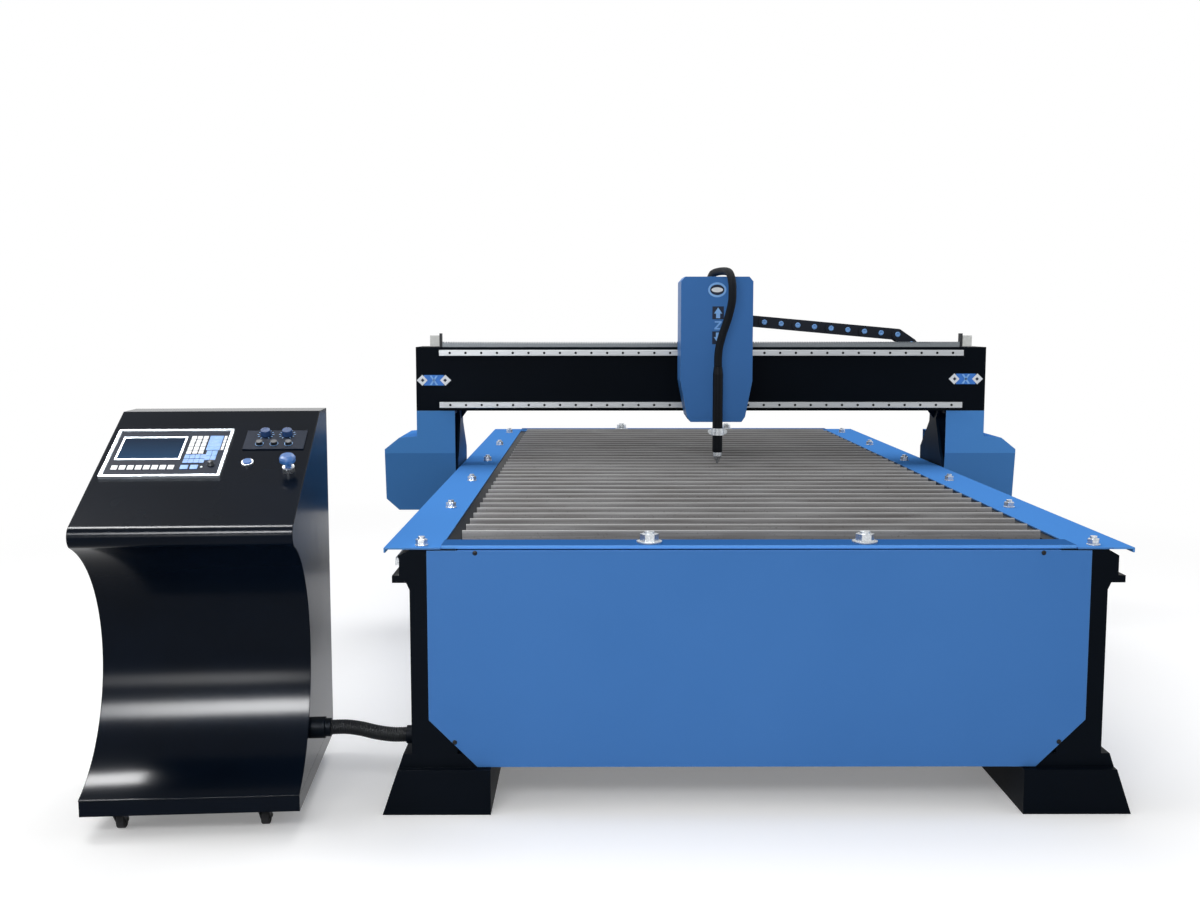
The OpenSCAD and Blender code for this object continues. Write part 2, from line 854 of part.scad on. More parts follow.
module chain_link(i) {
    outside = i % 2 == 0;
    far = outside ? link_w / 2 : link_w / 2 - link_plate - slip;
    translate([chain_point(i)[0], chain_y, chain_point(i)[1]])
        rotate([0, -link_angle(i), 0]) {
            for (side = [-1, 1])
                along_y(side * far - (side > 0 ? link_plate : 0), side * far + (side > 0 ? 0 : link_plate))
                    link_plate_shape(outside);
            for (z = [-link_h / 2, link_h / 2 - 4])
                block([link_pitch / 2 - 8, link_plate - far, z],
                    [link_pitch / 2 + 8, far - link_plate, z + 4]);
            if (!outside)
                for (x = [0, link_pitch], side = [-1, 1])
                    translate([x, side * (far + link_plate / 2 + slip), 0])
                        rod_y(-link_plate / 2 - slip, link_plate / 2 + slip, pin_r);
        }
}

module chain_links(first, last) {
    color("#17181a")
        in_frame()
            for (i = [first : last])
                chain_link(i);
}

module chain_upper() {
    chain_links(0, upper_links - 1);
}

module chain_bend() {
    chain_links(upper_links, upper_links + bend_links - 1);
}

module chain_lower() {
    chain_links(upper_links + bend_links, upper_links + bend_links + lower_links - 1);
}

// Gantry legs: flared side plate, column and pad under the beam, and saddle for the bearing blocks
module gantry_legs() {
    column_in = leg_x + leg_t;
    column_out = column_in + column_w;
    color("#15171a")
        in_frame()
            both_sides() {
                difference() {
                    along_x(leg_x, leg_x + leg_t)
                        polygon([[gantry_y + 33, cover_low + 4], [leg_back - 4, cover_low + 4],
                            [leg_back - 4, beam_low - leg_step], [beam_back + 3, beam_low - 56],
                            [beam_back - 5, beam_low], [gantry_y + 70, beam_low],
                            [gantry_y + column_at - 1, beam_low - 39], [gantry_y + 40, beam_low - leg_crease],
                            [gantry_y + 12, beam_low - leg_heel]]);
                    translate([0, leg_mid, y_pinion_z])
                        rod_x(leg_x - cut, leg_x + leg_t + cut, pinion_shaft_r + 6);
                }
                difference() {
                    block([column_in, gantry_y + column_at, beam_low - column_h],
                        [column_out, beam_back - 8, beam_low - 12]);
                    block([column_in + beam_wall, gantry_y + column_at + beam_wall,
                        beam_low - column_h - cut],
                        [column_out - beam_wall, beam_back - 8 - beam_wall, beam_low - 12 + cut]);
                }
                block([column_in, gantry_y + 20, beam_low - 12], [column_out, beam_back - 8, beam_low]);
                along_y(gantry_y + 140, gantry_y + 148)
                    polygon([[leg_x - 30, beam_low], [leg_x, beam_low], [leg_x, beam_low - 40]]);
                block([seat_out + block_h, leg_mid - block_offset - y_block_len / 2 - 6, rail_z - 28],
                    [leg_x, leg_mid + block_offset + y_block_len / 2 + 6, rail_z + 28]);
            }
}

// Sheet covers over the gantry legs and drives, stepped out below the shoulder, front folded back
module cover_form(t) {
    front = gantry_y + t;
    crease = beam_low - leg_crease;
    difference() {
        union() {
            along_y(front, leg_back - t)
                polygon([[leg_x + leg_t - (t > 0 ? cut : 0), cover_low + t],
                    [cover_out - 48 - t / 2, cover_low + t], [cover_out - t, cover_low + 45 + t / 2],
                    [cover_out - t, cover_shoulder - 50 - t / 2],
                    [cover_out - 55 - t / 2, cover_shoulder - 6 - t],
                    [beam_len / 2 - t, cover_shoulder - t],
                    [leg_x + leg_t - (t > 0 ? cut : 0), cover_shoulder - t]]);
            block([leg_x + leg_t - (t > 0 ? cut : 0), front, cover_shoulder - 20],
                [beam_len / 2 - t, beam_back - t, beam_low + (t > 0 ? cut : 0)]);
        }
        along_x(leg_x, cover_out + cut)
            polygon([[front - cut, cover_low - cut], [front + 30, cover_low - cut], [front, crease],
                [front - cut, crease]]);
    }
}

module leg_covers() {
    color("#3f74b5")
        in_frame()
            both_sides()
                difference() {
                    cover_form(0);
                    cover_form(cover_t);
                }
}

// Bearing blocks on the Y rails
module y_blocks() {
    color("#9fa3a6")
        in_frame()
            both_sides()
                for (side = [-1, 1])
                    difference() {
                        translate([0, leg_mid + side * block_offset, rail_z])
                            block([seat_out + 3, -y_block_len / 2, -y_block_w / 2],
                                [seat_out + block_h, y_block_len / 2, y_block_w / 2]);
                        block([seat_out, rail_start, rail_z - rail_w / 2 - slip],
                            [seat_out + rail_h + slip, table_len, rail_z + rail_w / 2 + slip]);
                    }
}

// Servo motors with gearboxes on the outer faces of the gantry legs
module servo(axis_len, gear_len) {
    block([0, -drive_w / 2, -drive_w / 2], [gear_len, drive_w / 2, drive_w / 2]);
    block([gear_len, -drive_w / 2 + 3, -drive_w / 2 + 3],
        [gear_len + axis_len, drive_w / 2 - 3, drive_w / 2 - 3]);
}

module y_drives() {
    color("#222428")
        in_frame()
            both_sides()
                translate([leg_x + leg_t, leg_mid, y_pinion_z])
                    difference() {
                        servo(servo_len, gearbox_len);
                        rod_x(-cut, 30, pinion_shaft_r + run);
                    }
}

// Pinions on their shafts, in mesh with the racks
module pinion_on_shaft(shaft_len) {
    along_x(0, rack_w)
        polygon(pinion_outline);
    rod_x(rack_w, rack_w + shaft_len, pinion_shaft_r);
}

module y_pinion() {
    color("#9a9ea1")
        translate([rack_x, leg_mid, y_pinion_z])
            pinion_on_shaft(leg_x + leg_t + 28 - rack_x - rack_w);
}

module left_pinion() {
    in_frame()
        mirror([1, 0, 0])
            y_pinion();
}

module right_pinion() {
    in_frame()
        y_pinion();
}

// Carriage plate with ears, screw supports, motor shelf, cover brackets and the chain bracket over the beam
module carriage_plate() {
    left = torch_x - plate_w / 2;
    right = torch_x + plate_w / 2;
    wall = z_cover_w / 2 - cover_t;
    chain_side = chain_start[0] - link_h / 2;
    color("#24272b")
        in_frame() {
            difference() {
                union() {
                    block([left, plate_front, plate_low], [right, plate_back, plate_top]);
                    block([left, plate_front, plate_top], [torch_x - ear_in, plate_back, ear_top]);
                    block([torch_x + ear_in, plate_front, plate_top],
                        [x_pinion_x + drive_w / 2, plate_back, ear_top]);
                    block([torch_x - wall, plate_front, beam_up - 90],
                        [torch_x + wall, plate_back, beam_up - 30]);
                }
                translate([x_pinion_x, 0, x_pinion_z])
                    rod_y(plate_front - cut, plate_back + cut, pinion_shaft_r + 6);
            }
            difference() {
                union() {
                    block([torch_x - 20, slide_back + 1, screw_low],
                        [torch_x + 20, plate_front, screw_low + 20]);
                    block([torch_x - 20, slide_back + 1, plate_top - 22],
                        [torch_x + 20, plate_front, plate_top - 2]);
                    block([torch_x - ear_in, slide_back - 20, plate_top],
                        [torch_x + ear_in, plate_back, motor_low]);
                }
                translate([torch_x, screw_y, 0])
                    cylinder(h = motor_low + cut, r = screw_r + run);
            }
            difference() {
                block([left, plate_back, bracket_z], [chain_side, bracket_back, bracket_z + bracket_t]);
                block([torch_x - drive_w / 2 - 5, plate_back - cut, bracket_z - cut],
                    [torch_x + drive_w / 2 + 5, plate_back + 6, bracket_z + bracket_t + cut]);
            }
            block([chain_side - 8, beam_back - 20, bracket_z], [chain_side, chain_y + link_w / 2 - 13,
                bracket_z + link_h]);
            translate([lead_gland[0], lead_gland[1], bracket_z + bracket_t])
                cylinder(h = lead_gland_h, r = lead_d / 2 + 5);
        }
}

// Bearing blocks on the X rails
module x_blocks() {
    color("#9fa3a6")
        in_frame()
            for (z = [x_rail_low, x_rail_high], side = [-1, 1])
                difference() {
                    translate([torch_x + side * x_block_offset, 0, z])
                        block([-x_block_len / 2, gantry_y - block_h, -x_block_w / 2],
                            [x_block_len / 2, gantry_y - 3, x_block_w / 2]);
                    block([-x_rail_len, gantry_y - rail_h - slip, z - rail_w / 2 - 1 - slip],
                        [x_rail_len, gantry_y, z + rail_w / 2 + 1 + slip]);
                }
}

// Sheet cover of the lifting axis: tapered below, open at the back and below, slotted for the torch holder
module z_cover_form(t) {
    half = z_cover_w / 2 - t;
    low = z_cover_low - (t > 0 ? cut : 0);
    top = z_cover_top - t;
    translate([torch_x, 0, 0])
        along_y(z_cover_front + t, z_cover_back + (t > 0 ? cut : 0))
            polygon([[38 - half, low], [half - 38, low], [half - 25, z_cover_low + 19],
                [half, z_cover_low + z_taper], [half, top - 17], [half - 15, top], [15 - half, top],
                [-half, top - 17], [-half, z_cover_low + z_taper], [25 - half, z_cover_low + 19]]);
}

module z_cover() {
    color("#3f74b5")
        in_frame()
            difference() {
                z_cover_form(0);
                z_cover_form(cover_t);
                block([torch_x - slot_w / 2, z_cover_front - cut, z_cover_low - cut],
                    [torch_x + slot_w / 2, z_cover_front + cover_t + cut, arm_low + arm_h + lift_up + 8]);
            }
}

// Servo and gearbox that drive the X pinion, and the motor on top of the screw
module carriage_motors() {
    color("#222428")
        in_frame() {
            translate([x_pinion_x, plate_front, x_pinion_z])
                rotate([0, 0, -90])
                    difference() {
                        servo(90, 50);
                        rod_x(-cut, 30, pinion_shaft_r + run);
                    }
            difference() {
                block([torch_x - drive_w / 2, screw_y - drive_w / 2, motor_low],
                    [torch_x + drive_w / 2, screw_y + drive_w / 2, motor_low + z_motor_h]);
                translate([torch_x, screw_y, motor_low - cut])
                    cylinder(h = 20 + cut, r = screw_r + run);
            }
        }
}

module x_pinion() {
    color("#9a9ea1")
        in_frame()
            translate([x_pinion_x, x_rack_y + rack_w, x_pinion_z])
                rotate([0, 0, -90])
                    mirror([0, 0, 1])
                        pinion_on_shaft(x_rack_y - plate_front + 28);
}

// Two short rails on the carriage plate that guide the torch slide
module z_rails() {
    color("#c9cccf")
        in_frame()
            for (side = [-1, 1])
                translate([torch_x + side * z_rail_x, plate_front, screw_low])
                    linear_extrude(plate_top - 12 - screw_low)
                        rotate(180)
                            rail_section(z_rail_w, z_rail_h);
}

// Lifting screw
module z_screw() {
    color("#c9cccf")
        in_frame()
            translate([torch_x, screw_y, screw_low])
                cylinder(h = motor_low + 18 - screw_low, r = screw_r);
}

// Torch slide: plate with bearing blocks, nut, and the arm that carries the torch through the cover's slot
module z_slide() {
    color("#7f8488")
        in_frame()
            translate([torch_x, 0, 0]) {
                block([-slide_w / 2, slide_back - slide_t, slide_low],
                    [slide_w / 2, slide_back, slide_low + slide_h]);
                for (side = [-1, 1], z = [slide_low + 8, slide_low + slide_h - 58])
                    difference() {
                        block([side * z_rail_x - 16, slide_back, z],
                            [side * z_rail_x + 16, plate_front - 3, z + 50]);
                        block([side * z_rail_x - z_rail_w / 2 - slip, plate_front - z_rail_h - slip, z - cut],
                            [side * z_rail_x + z_rail_w / 2 + slip, plate_front, z + 50 + cut]);
                    }
                difference() {
                    block([-15, slide_back, nut_low], [15, plate_front - 1, nut_low + nut_h]);
                    translate([0, screw_y, nut_low - cut])
                        cylinder(h = nut_h + 2 * cut, r = screw_r + run);
                }
                block([-arm_w / 2, torch_y + torch_d / 2 + 2, arm_low],
                    [arm_w / 2, slide_back - slide_t, arm_low + arm_h]);
                block([-arm_w / 2, torch_y + torch_d / 2 + 2, clamp_low],
                    [arm_w / 2, torch_y + torch_d / 2 + 14, arm_low + arm_h]);
            }
}

// Two-lobed clamp round the torch, screwed to the holder bar
module torch_clamp() {
    color("#c9cccf")
        in_frame()
            translate([torch_x, torch_y, clamp_low])
                difference() {
                    union() {
                        cylinder(h = clamp_h, r = torch_d / 2 + 6);
                        for (side = [-1, 1])
                            translate([side * (torch_d / 2 + 7), 0, clamp_h / 2])
                                rod_y(-9, 9, 9);
                        block([-arm_w / 2, torch_d / 2 - 4, 2], [arm_w / 2, torch_d / 2 + 2, clamp_h - 2]);
                    }
                    translate([0, 0, -cut])
                        cylinder(h = clamp_h + 2 * cut, r = torch_d / 2);
                    block([-arm_w / 2 - cut, torch_d / 2 + 2, -cut],
                        [arm_w / 2 + cut, torch_d, clamp_h + cut]);
                }
}

// Torch body: a plain sleeve with a collar above the consumables
module torch_body() {
    color("#131519")
        in_frame()
            translate([torch_x, torch_y, 0])
                rotate_extrude()
                    polygon([[0, shield_top], [torch_d / 2 - 3, shield_top], [torch_d / 2, shield_top + 4],
                        [torch_d / 2, torch_top - 26], [lead_d / 2 + 1, torch_top], [0, torch_top]]);
}

// Shield cap and cutting tip
module torch_nozzle() {
    color("#c9cccf")
        in_frame()
            translate([torch_x, torch_y, 0])
                rotate_extrude()
                    polygon([[0, torch_tip], [4, torch_tip], [6, torch_tip + 10], [10, torch_tip + 12],
                        [torch_d / 2 - 3, torch_tip + 26], [torch_d / 2 - 3, shield_top], [0, shield_top]]);
}

module torch_lead() {
    color("#131519")
        in_frame()
            solid_tube(lead_route, lead_d / 2, [1, 0, 0], 10);
}

// Console side profile in Y and Z, drawn inwards by t: hollow front, round nose, sloped desk, flat top.
// The nose stands a hair proud, so that its arc crosses the hollow and the desk.
module console_profile(t) {
    open = t > 0 ? cut : 0;
    nose = nose_r - t;
    desk = nose_c + nose * [-sin(desk_slope), cos(desk_slope)];
    top = console_h - t;
    difference() {
        union() {
            polygon([[0, plinth_top - open], [console_d + open, plinth_top - open], [console_d + open, top],
                [desk[0] + (top - desk[1]) / tan(desk_slope), top], desk, nose_c,
                nose_c - nose * [cos(nose_angle), sin(nose_angle)]]);
            translate(nose_c)
                circle(r = nose + nose_bite);
        }
        translate(hollow_c)
            circle(r = hollow_r + t, $fn = 96);
    }
}

module desk_hole(at, r) {
    translate([at[0], at[1], -shell_t - cut])
        cylinder(h = shell_t + 2 * cut, r = r);
}

module console_shell() {
    color("#0b0d12")
        difference() {
            at_console()
                difference() {
                    along_x(0, console_w)
                        console_profile(0);
                    along_x(shell_t, console_w - shell_t)
                        console_profile(shell_t);
                }
            on_desk() {
                for (x = dial_x)
                    desk_hole([x, dial_up], dial_shaft_r + loose);
                for (x = button_x)
                    desk_hole([x, button_up], button_r + slip);
                desk_hole(push_at, push_r + slip);
                desk_hole(stop_at, stop_stem_r + slip);
            }
        }
}

// Folded plinth pan with the caster plates and king pins on its underside
module king_pin() {
    block([-24, -24, plinth_low - 6], [24, 24, plinth_low]);
    translate([0, 0, plinth_low - 17])
        cylinder(h = 12, r = king_r);
    translate([0, 0, plinth_low - 18])
        cylinder(h = 4, r = king_r + 3);
}

module console_plinth() {
    color("#0b0d12")
        at_console() {
            difference() {
                block([0, plinth_set, plinth_low], [console_w, console_d, plinth_top]);
                block([3, plinth_set + 3, plinth_low + 3], [console_w - 3, console_d - 3, plinth_top + cut]);
            }
            for (x = caster_x, y = caster_y)
                translate([x, y, 0])
                    king_pin();
        }
}

// Rear panel with louvre slots
module console_back() {
    color("#0b0d12")
        at_console()
            difference() {
                block([0, console_d, plinth_top], [console_w, console_d + shell_t, console_h]);
                for (i = [0 : 5])
                    translate([console_w / 2, console_d, plinth_top + 110 + 22 * i])
                        block([-90, -cut, 0], [90, shell_t + cut, 7]);
            }
}

// Numerical control unit: bezel standing proud of the desk round a recessed face
module control_unit() {
    color("#b9c0c6")
        on_desk()
            translate([control_at[0], control_at[1], 0])
                difference() {
                    block([0, 0, 0], [control_size[0], control_size[1], control_t]);
                    block([7, 7, control_t - 3], [control_size[0] - 7, control_size[1] - 7, control_t + cut]);
                }
}

// Torch height control plate
module height_plate() {
    color("#101216")
        on_desk()
            difference() {
                block([plate_at[0], plate_at[1], 0],
                    [plate_at[0] + plate_size[0], plate_at[1] + plate_size[1], height_t]);
                for (x = dial_x)
                    translate([x, dial_up, -cut])
                        cylinder(h = height_t + 2 * cut, r = dial_shaft_r + run);
                for (x = button_x)
                    translate([x, button_up, -cut])
                        cylinder(h = height_t + 2 * cut, r = button_r + slip);
            }
}

module dial(x) {
    color("#3f86d8")
        on_desk()
            translate([x, dial_up, 0]) {
                translate([0, 0, -8])
                    cylinder(h = height_t + 9, r = dial_shaft_r);
                translate([0, 0, height_t + slip])
                    difference() {
                        cylinder(h = dial_h, r1 = dial_r, r2 = dial_r - 2);
                        block([-1, 4, dial_h - 1], [1, dial_r, dial_h + cut]);
                    }
            }
}

module dial_left() {
    dial(dial_x[0]);
}

module dial_right() {
    dial(dial_x[1]);
}

module height_button(x) {
    color("#15171a")
        on_desk()
            translate([x, button_up, -6])
                cylinder(h = height_t + 14, r = button_r);
}

module height_button_left() {
    height_button(button_x[0]);
}

module height_button_middle() {
    height_button(button_x[1]);
}

module height_button_right() {
    height_button(button_x[2]);
}

// Collars of the push button and the stop button
module button_collars() {
    color("#b9bdc0")
        on_desk() {
            translate([push_at[0], push_at[1], 0])
                difference() {
                    cylinder(h = 7, r = collar_r);
                    translate([0, 0, -cut])
                        cylinder(h = 7 + 2 * cut, r = push_r + slip);
                }
            translate([stop_at[0], stop_at[1], 0])
                difference() {
                    cylinder(h = 14, r = collar_r);
                    translate([0, 0, -cut])
                        cylinder(h = 14 + 2 * cut, r = stop_stem_r + slip);
                }
        }
}

module push_button() {
    color("#7fb2e6")
        on_desk()
            translate([push_at[0], push_at[1], -8])
                cylinder(h = 18, r = push_r);
}

// Mushroom head on its stem
module stop_button() {
    color("#3f74b5")
        on_desk()
            translate([stop_at[0], stop_at[1], 0])
                rotate_extrude()
                    polygon([[0, -8], [stop_stem_r, -8], [stop_stem_r, 29], [stop_r - 2, 29], [stop_r, 32],
                        [stop_r, 40], [stop_r - 3, 45], [stop_r / 2, 48], [0, 48]]);
}

// Casters: forks turning on the king pins, and their wheels
module fork(x, y) {
    color("#2b2d30")
        at_console()
            translate([x, y, 0]) {
                difference() {
                    translate([0, 0, plinth_low - 13])
                        cylinder(h = 6.5, r = crown_r);
                    translate([0, 0, plinth_low - 20])
                        cylinder(h = 20, r = king_r + run);
                }
                for (side = [-1, 1])
                    along_x(side * (wheel_w / 2 + 1 + fork_t / 2) - fork_t / 2,
                        side * (wheel_w / 2 + 1 + fork_t / 2) + fork_t / 2)
                        polygon([[-13, plinth_low - 13], [13, plinth_low - 13],
                            [caster_trail + 7, wheel_r + 4], [caster_trail + 7, wheel_r - 6],
                            [caster_trail - 7, wheel_r - 6]]);
                translate([0, caster_trail, wheel_r])
                    rod_x(-wheel_w / 2 - fork_t - 3, wheel_w / 2 + fork_t + 3, axle_r);
            }
}

module wheel(x, y) {
    half = wheel_w / 2;
    rim = [[axle_r + run, half + 0.7], [9, half + 0.7], [9, half - 2], [wheel_r - 5, half - 2],
        [wheel_r - 4, half], [wheel_r - 2, half], [wheel_r, half - 2]];
    color("#1b1c1e")
        at_console()
            translate([x, y + caster_trail, wheel_r])
                rotate([0, 90, 0])
                    rotate_extrude()
                        polygon(concat(rim, [for (i = [len(rim) - 1 : -1 : 0]) [rim[i][0], -rim[i][1]]]));
}

module fork_left() {
    fork(caster_x[0], caster_y[0]);
}

module fork_right() {
    fork(caster_x[1], caster_y[0]);
}

module rear_forks() {
    for (x = caster_x)
        fork(x, caster_y[1]);
}

module wheel_front_left() {
    wheel(caster_x[0], caster_y[0]);
}

module wheel_front_right() {
    wheel(caster_x[1], caster_y[0]);
}

module wheel_rear_left() {
    wheel(caster_x[0], caster_y[1]);
}

module wheel_rear_right() {
    wheel(caster_x[1], caster_y[1]);
}

// Hose fittings on the console's side and on the front left leg
module hose_fittings() {
    color("#15171a") {
        at_console()
            translate([console_w, gland_d, gland_z]) {
                rod_x(0, gland_len - 14, gland_r);
                rod_x(gland_len - 14, gland_len, gland_r - 4);
            }
        in_frame()
            translate(leg_gland_at)
                rod_x(-leg_gland_len, 0, hose_d / 2 + 4);
    }
}

// Ribbed hose with its bore: two rings a rib outside, one ring a rib inside
module hose() {
    rings = 2 * hose_ribs;
    spans = len(hose_route) - 1;
    outer = [for (i = [0 : rings]) each ring_points(smooth_at(hose_route, spans * i / rings),
        smooth_dir(hose_route, spans * i / rings), [0, 0, 1],
        hose_d / 2 - (i % 2 == 1 ? hose_groove : 0), hose_sides)];
    inner = [for (i = [0 : hose_ribs]) each ring_points(smooth_at(hose_route, spans * i / hose_ribs),
        smooth_dir(hose_route, spans * i / hose_ribs), [0, 0, 1], hose_d / 2 - hose_wall, hose_sides)];
    base = len(outer);
    n = hose_sides;
    skin = [for (i = [0 : rings - 1], k = [0 : n - 1]) let(a = i * n + k, b = i * n + (k + 1) % n)
        each [[a, b, b + n], [a, b + n, a + n]]];
    bore = [for (i = [0 : hose_ribs - 1], k = [0 : n - 1])
        let(a = base + i * n + k, b = base + i * n + (k + 1) % n)
        each [[a, b + n, b], [a, a + n, b + n]]];
    last = rings * n;
    far = base + hose_ribs * n;
    rims = [for (k = [0 : n - 1]) let(m = (k + 1) % n)
        each [[k, base + m, m], [k, base + k, base + m],
            [last + k, last + m, far + m], [last + k, far + m, far + k]]];
    color("#17181a")
        in_frame()
            polyhedron(concat(outer, inner), concat(skin, bore, rims));
}

leg_frames();
side_beams();
cross_tubes();
slat_combs();
slag_tray();
slats();
front_panel();
skirt_panels();
bed_rim();
bed_bolts();
y_rails();
y_racks();
gantry_beam();
x_rails();
x_rack();
beam_stops();
chain_tray();
chain_lower();
chain_bend();
chain_upper();
gantry_legs();
leg_covers();
y_blocks();
y_drives();
left_pinion();
right_pinion();
carriage_plate();
x_blocks();
z_cover();
carriage_motors();
x_pinion();
z_rails();
z_screw();
z_slide();
torch_clamp();
torch_body();
torch_nozzle();
torch_lead();
console_shell();
console_plinth();
console_back();
control_unit();
height_plate();
dial_left();
dial_right();
height_button_left();
height_button_middle();
height_button_right();
button_collars();
push_button();
stop_button();
fork_left();
fork_right();
rear_forks();
wheel_front_left();
wheel_front_right();
wheel_rear_left();
wheel_rear_right();
hose_fittings();
hose();
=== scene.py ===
import math

import bmesh
import bpy
from mathutils import Matrix, Vector


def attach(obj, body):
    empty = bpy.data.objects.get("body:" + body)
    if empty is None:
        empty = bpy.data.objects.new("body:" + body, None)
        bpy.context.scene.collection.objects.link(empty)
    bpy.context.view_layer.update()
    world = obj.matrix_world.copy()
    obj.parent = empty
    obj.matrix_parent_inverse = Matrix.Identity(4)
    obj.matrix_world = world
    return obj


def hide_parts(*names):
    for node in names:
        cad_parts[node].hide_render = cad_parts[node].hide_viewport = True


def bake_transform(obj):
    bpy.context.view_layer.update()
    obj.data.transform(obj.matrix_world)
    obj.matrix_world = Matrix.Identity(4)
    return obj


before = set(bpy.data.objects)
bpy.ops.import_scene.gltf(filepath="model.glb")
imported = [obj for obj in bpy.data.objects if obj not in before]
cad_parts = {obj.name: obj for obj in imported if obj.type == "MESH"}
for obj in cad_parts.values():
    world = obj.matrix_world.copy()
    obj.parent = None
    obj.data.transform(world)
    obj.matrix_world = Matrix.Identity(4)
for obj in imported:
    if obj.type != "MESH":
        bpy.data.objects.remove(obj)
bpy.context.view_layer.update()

# Camera: the view from ahead of the bed at chest height, a little left of its middle,
# level from side to side and tipped down by about six degrees, with a normal lens.
def at(x, y, z):
    """A place in millimetres from the front panel's middle on the floor, as metres in the part's frame."""
    return Vector(((x + 226.275) / 1000, (y - 1646.5) / 1000, z / 1000))


camera_data = bpy.data.cameras.new("standing_view")
camera_data.lens = 37.5
camera_data.sensor_width = 36
camera_data.clip_end = 200
camera = bpy.data.objects.new("standing_view", camera_data)
camera.location = at(-404.8, -3039.5, 1226.8)
camera.rotation_euler = (math.radians(90 - 5.83), 0, math.radians(-0.21))
bpy.context.scene.collection.objects.link(camera)
bpy.context.scene.camera = camera

# Torch lead: the gas and power cable in its black woven sleeve. It leaves the torch upwards, stands clear
# of the cover, bends over its top and goes down into the gland on the carriage's bracket.
def linear(code):
    """A colour written as sRGB hex, as linear light."""
    parts = [int(code[i:i + 2], 16) / 255 for i in (1, 3, 5)]
    return [c / 12.92 if c <= 0.04045 else ((c + 0.055) / 1.055) ** 2.4 for c in parts] + [1.0]


def add(tree, kind, links=None, **settings):
    """One node with its settings, its values and what it is linked from."""
    node = tree.nodes.new(kind)
    for key, value in settings.items():
        setattr(node, key, value)
    for socket, value in (links or {}).items():
        if isinstance(value, bpy.types.NodeSocket):
            tree.links.new(value, node.inputs[socket])
        else:
            node.inputs[socket].default_value = value
    return node


def tone_between(tree, factor, first, second):
    """A node that gives the first colour, the second, or one between them."""
    return add(tree, "ShaderNodeMix", {"Factor": factor, 6: first, 7: second}, data_type="RGBA")


def finish_of(name, **values):
    """A new material, its tree and its shader with the plain values of the finish."""
    made = bpy.data.materials.new(name)
    made.use_nodes = True
    shader = made.node_tree.nodes["Principled BSDF"]
    for key, value in values.items():
        shader.inputs[key.replace("_", " ")].default_value = value
    return made, made.node_tree, shader


def smooth_route(points, steps):
    """Points along the smooth curve through a route's own points."""
    out = []
    for i in range(len(points) - 1):
        a, b = points[max(i - 1, 0)], points[i]
        c, d = points[i + 1], points[min(i + 2, len(points) - 1)]
        for k in range(steps):
            f = k / steps
            out.append(b + f / 2 * ((c - a) + f * ((2 * a - 5 * b + 4 * c - d) + f * (3 * (b - c) + d - a))))
    return out + [points[-1].copy()]


def tube(name, line, radii, sides, up):
    """A closed tube along a line, with a radius for each ring and a turn count kept in its UVs."""
    mesh = bmesh.new()
    uv = mesh.loops.layers.uv.new("sleeve")
    rings, run, runs = [], 0.0, []
    for i, centre in enumerate(line):
        ahead = (line[min(i + 1, len(line) - 1)] - line[max(i - 1, 0)]).normalized()
        side = ahead.cross(up).normalized()
        top = side.cross(ahead)
        run += (centre - line[i - 1]).length if i else 0
        runs.append(run)
        rings.append([mesh.verts.new(centre + radii[i] * (math.cos(t) * side + math.sin(t) * top))
                      for t in (2 * math.pi * k / sides for k in range(sides))])
    for i in range(len(rings) - 1):
        for k in range(sides):
            j = (k + 1) % sides
            face = mesh.faces.new((rings[i][k], rings[i][j], rings[i + 1][j], rings[i + 1][k]))
            face.smooth = True
            for loop, u, v in zip(face.loops, (k, k + 1, k + 1, k), (i, i, i + 1, i + 1)):
                loop[uv].uv = (u / sides, runs[v])
    mesh.faces.new(list(reversed(rings[0])))
    mesh.faces.new(rings[-1])
    data = bpy.data.meshes.new(name)
    mesh.to_mesh(data)
    mesh.free()
    piece = bpy.data.objects.new(name, data)
    bpy.context.scene.collection.objects.link(piece)
    return piece


lead_route = [at(*p) for p in ((40, 1500, 1066.3), (40, 1500, 1105), (45, 1499, 1145), (57, 1497, 1190),
                               (72, 1494, 1235), (82, 1489, 1275), (87, 1486, 1305), (88, 1487, 1330),
                               (88, 1493, 1360), (86, 1511, 1387), (82, 1538, 1405), (76, 1572, 1412),
                               (66, 1620, 1415), (54, 1668, 1415), (43, 1714, 1412), (38, 1746, 1406),
                               (34, 1773, 1389), (32, 1791, 1362), (32, 1797, 1330), (32, 1797, 1290),
                               (32, 1797, 1245))]
lead_radius = 0.0145
lead_line = smooth_route(lead_route, 10)
torch_lead = tube("torch_lead_sleeve", lead_line, [lead_radius] * len(lead_line), 32, Vector((1, 0, 0)))
# Woven polyester sleeve: black, dull, with a diagonal weave about 3 mm wide, drawn at 6 mm to show.
sleeve, tree, shader = finish_of("woven_polyester_sleeve", Roughness=0.62, Specular_IOR_Level=0.12)
uvs = add(tree, "ShaderNodeUVMap", uv_map="sleeve")
parts = add(tree, "ShaderNodeSeparateXYZ", {0: uvs.outputs[0]})
turns = add(tree, "ShaderNodeMath", {0: parts.outputs[0], 1: 2 * math.pi * 15}, operation="MULTIPLY")
length = add(tree, "ShaderNodeMath", {0: parts.outputs[1], 1: 2 * math.pi / 0.006}, operation="MULTIPLY")
left = add(tree, "ShaderNodeMath", {0: turns.outputs[0], 1: length.outputs[0]}, operation="ADD")
right = add(tree, "ShaderNodeMath", {0: turns.outputs[0], 1: length.outputs[0]}, operation="SUBTRACT")
left_wave = add(tree, "ShaderNodeMath", {0: left.outputs[0]}, operation="SINE")
right_wave = add(tree, "ShaderNodeMath", {0: right.outputs[0]}, operation="SINE")
weave = add(tree, "ShaderNodeMath", {0: left_wave.outputs[0], 1: right_wave.outputs[0]},
            operation="MULTIPLY")
level = add(tree, "ShaderNodeMapRange", {0: weave.outputs[0], 1: -1.0, 2: 1.0})
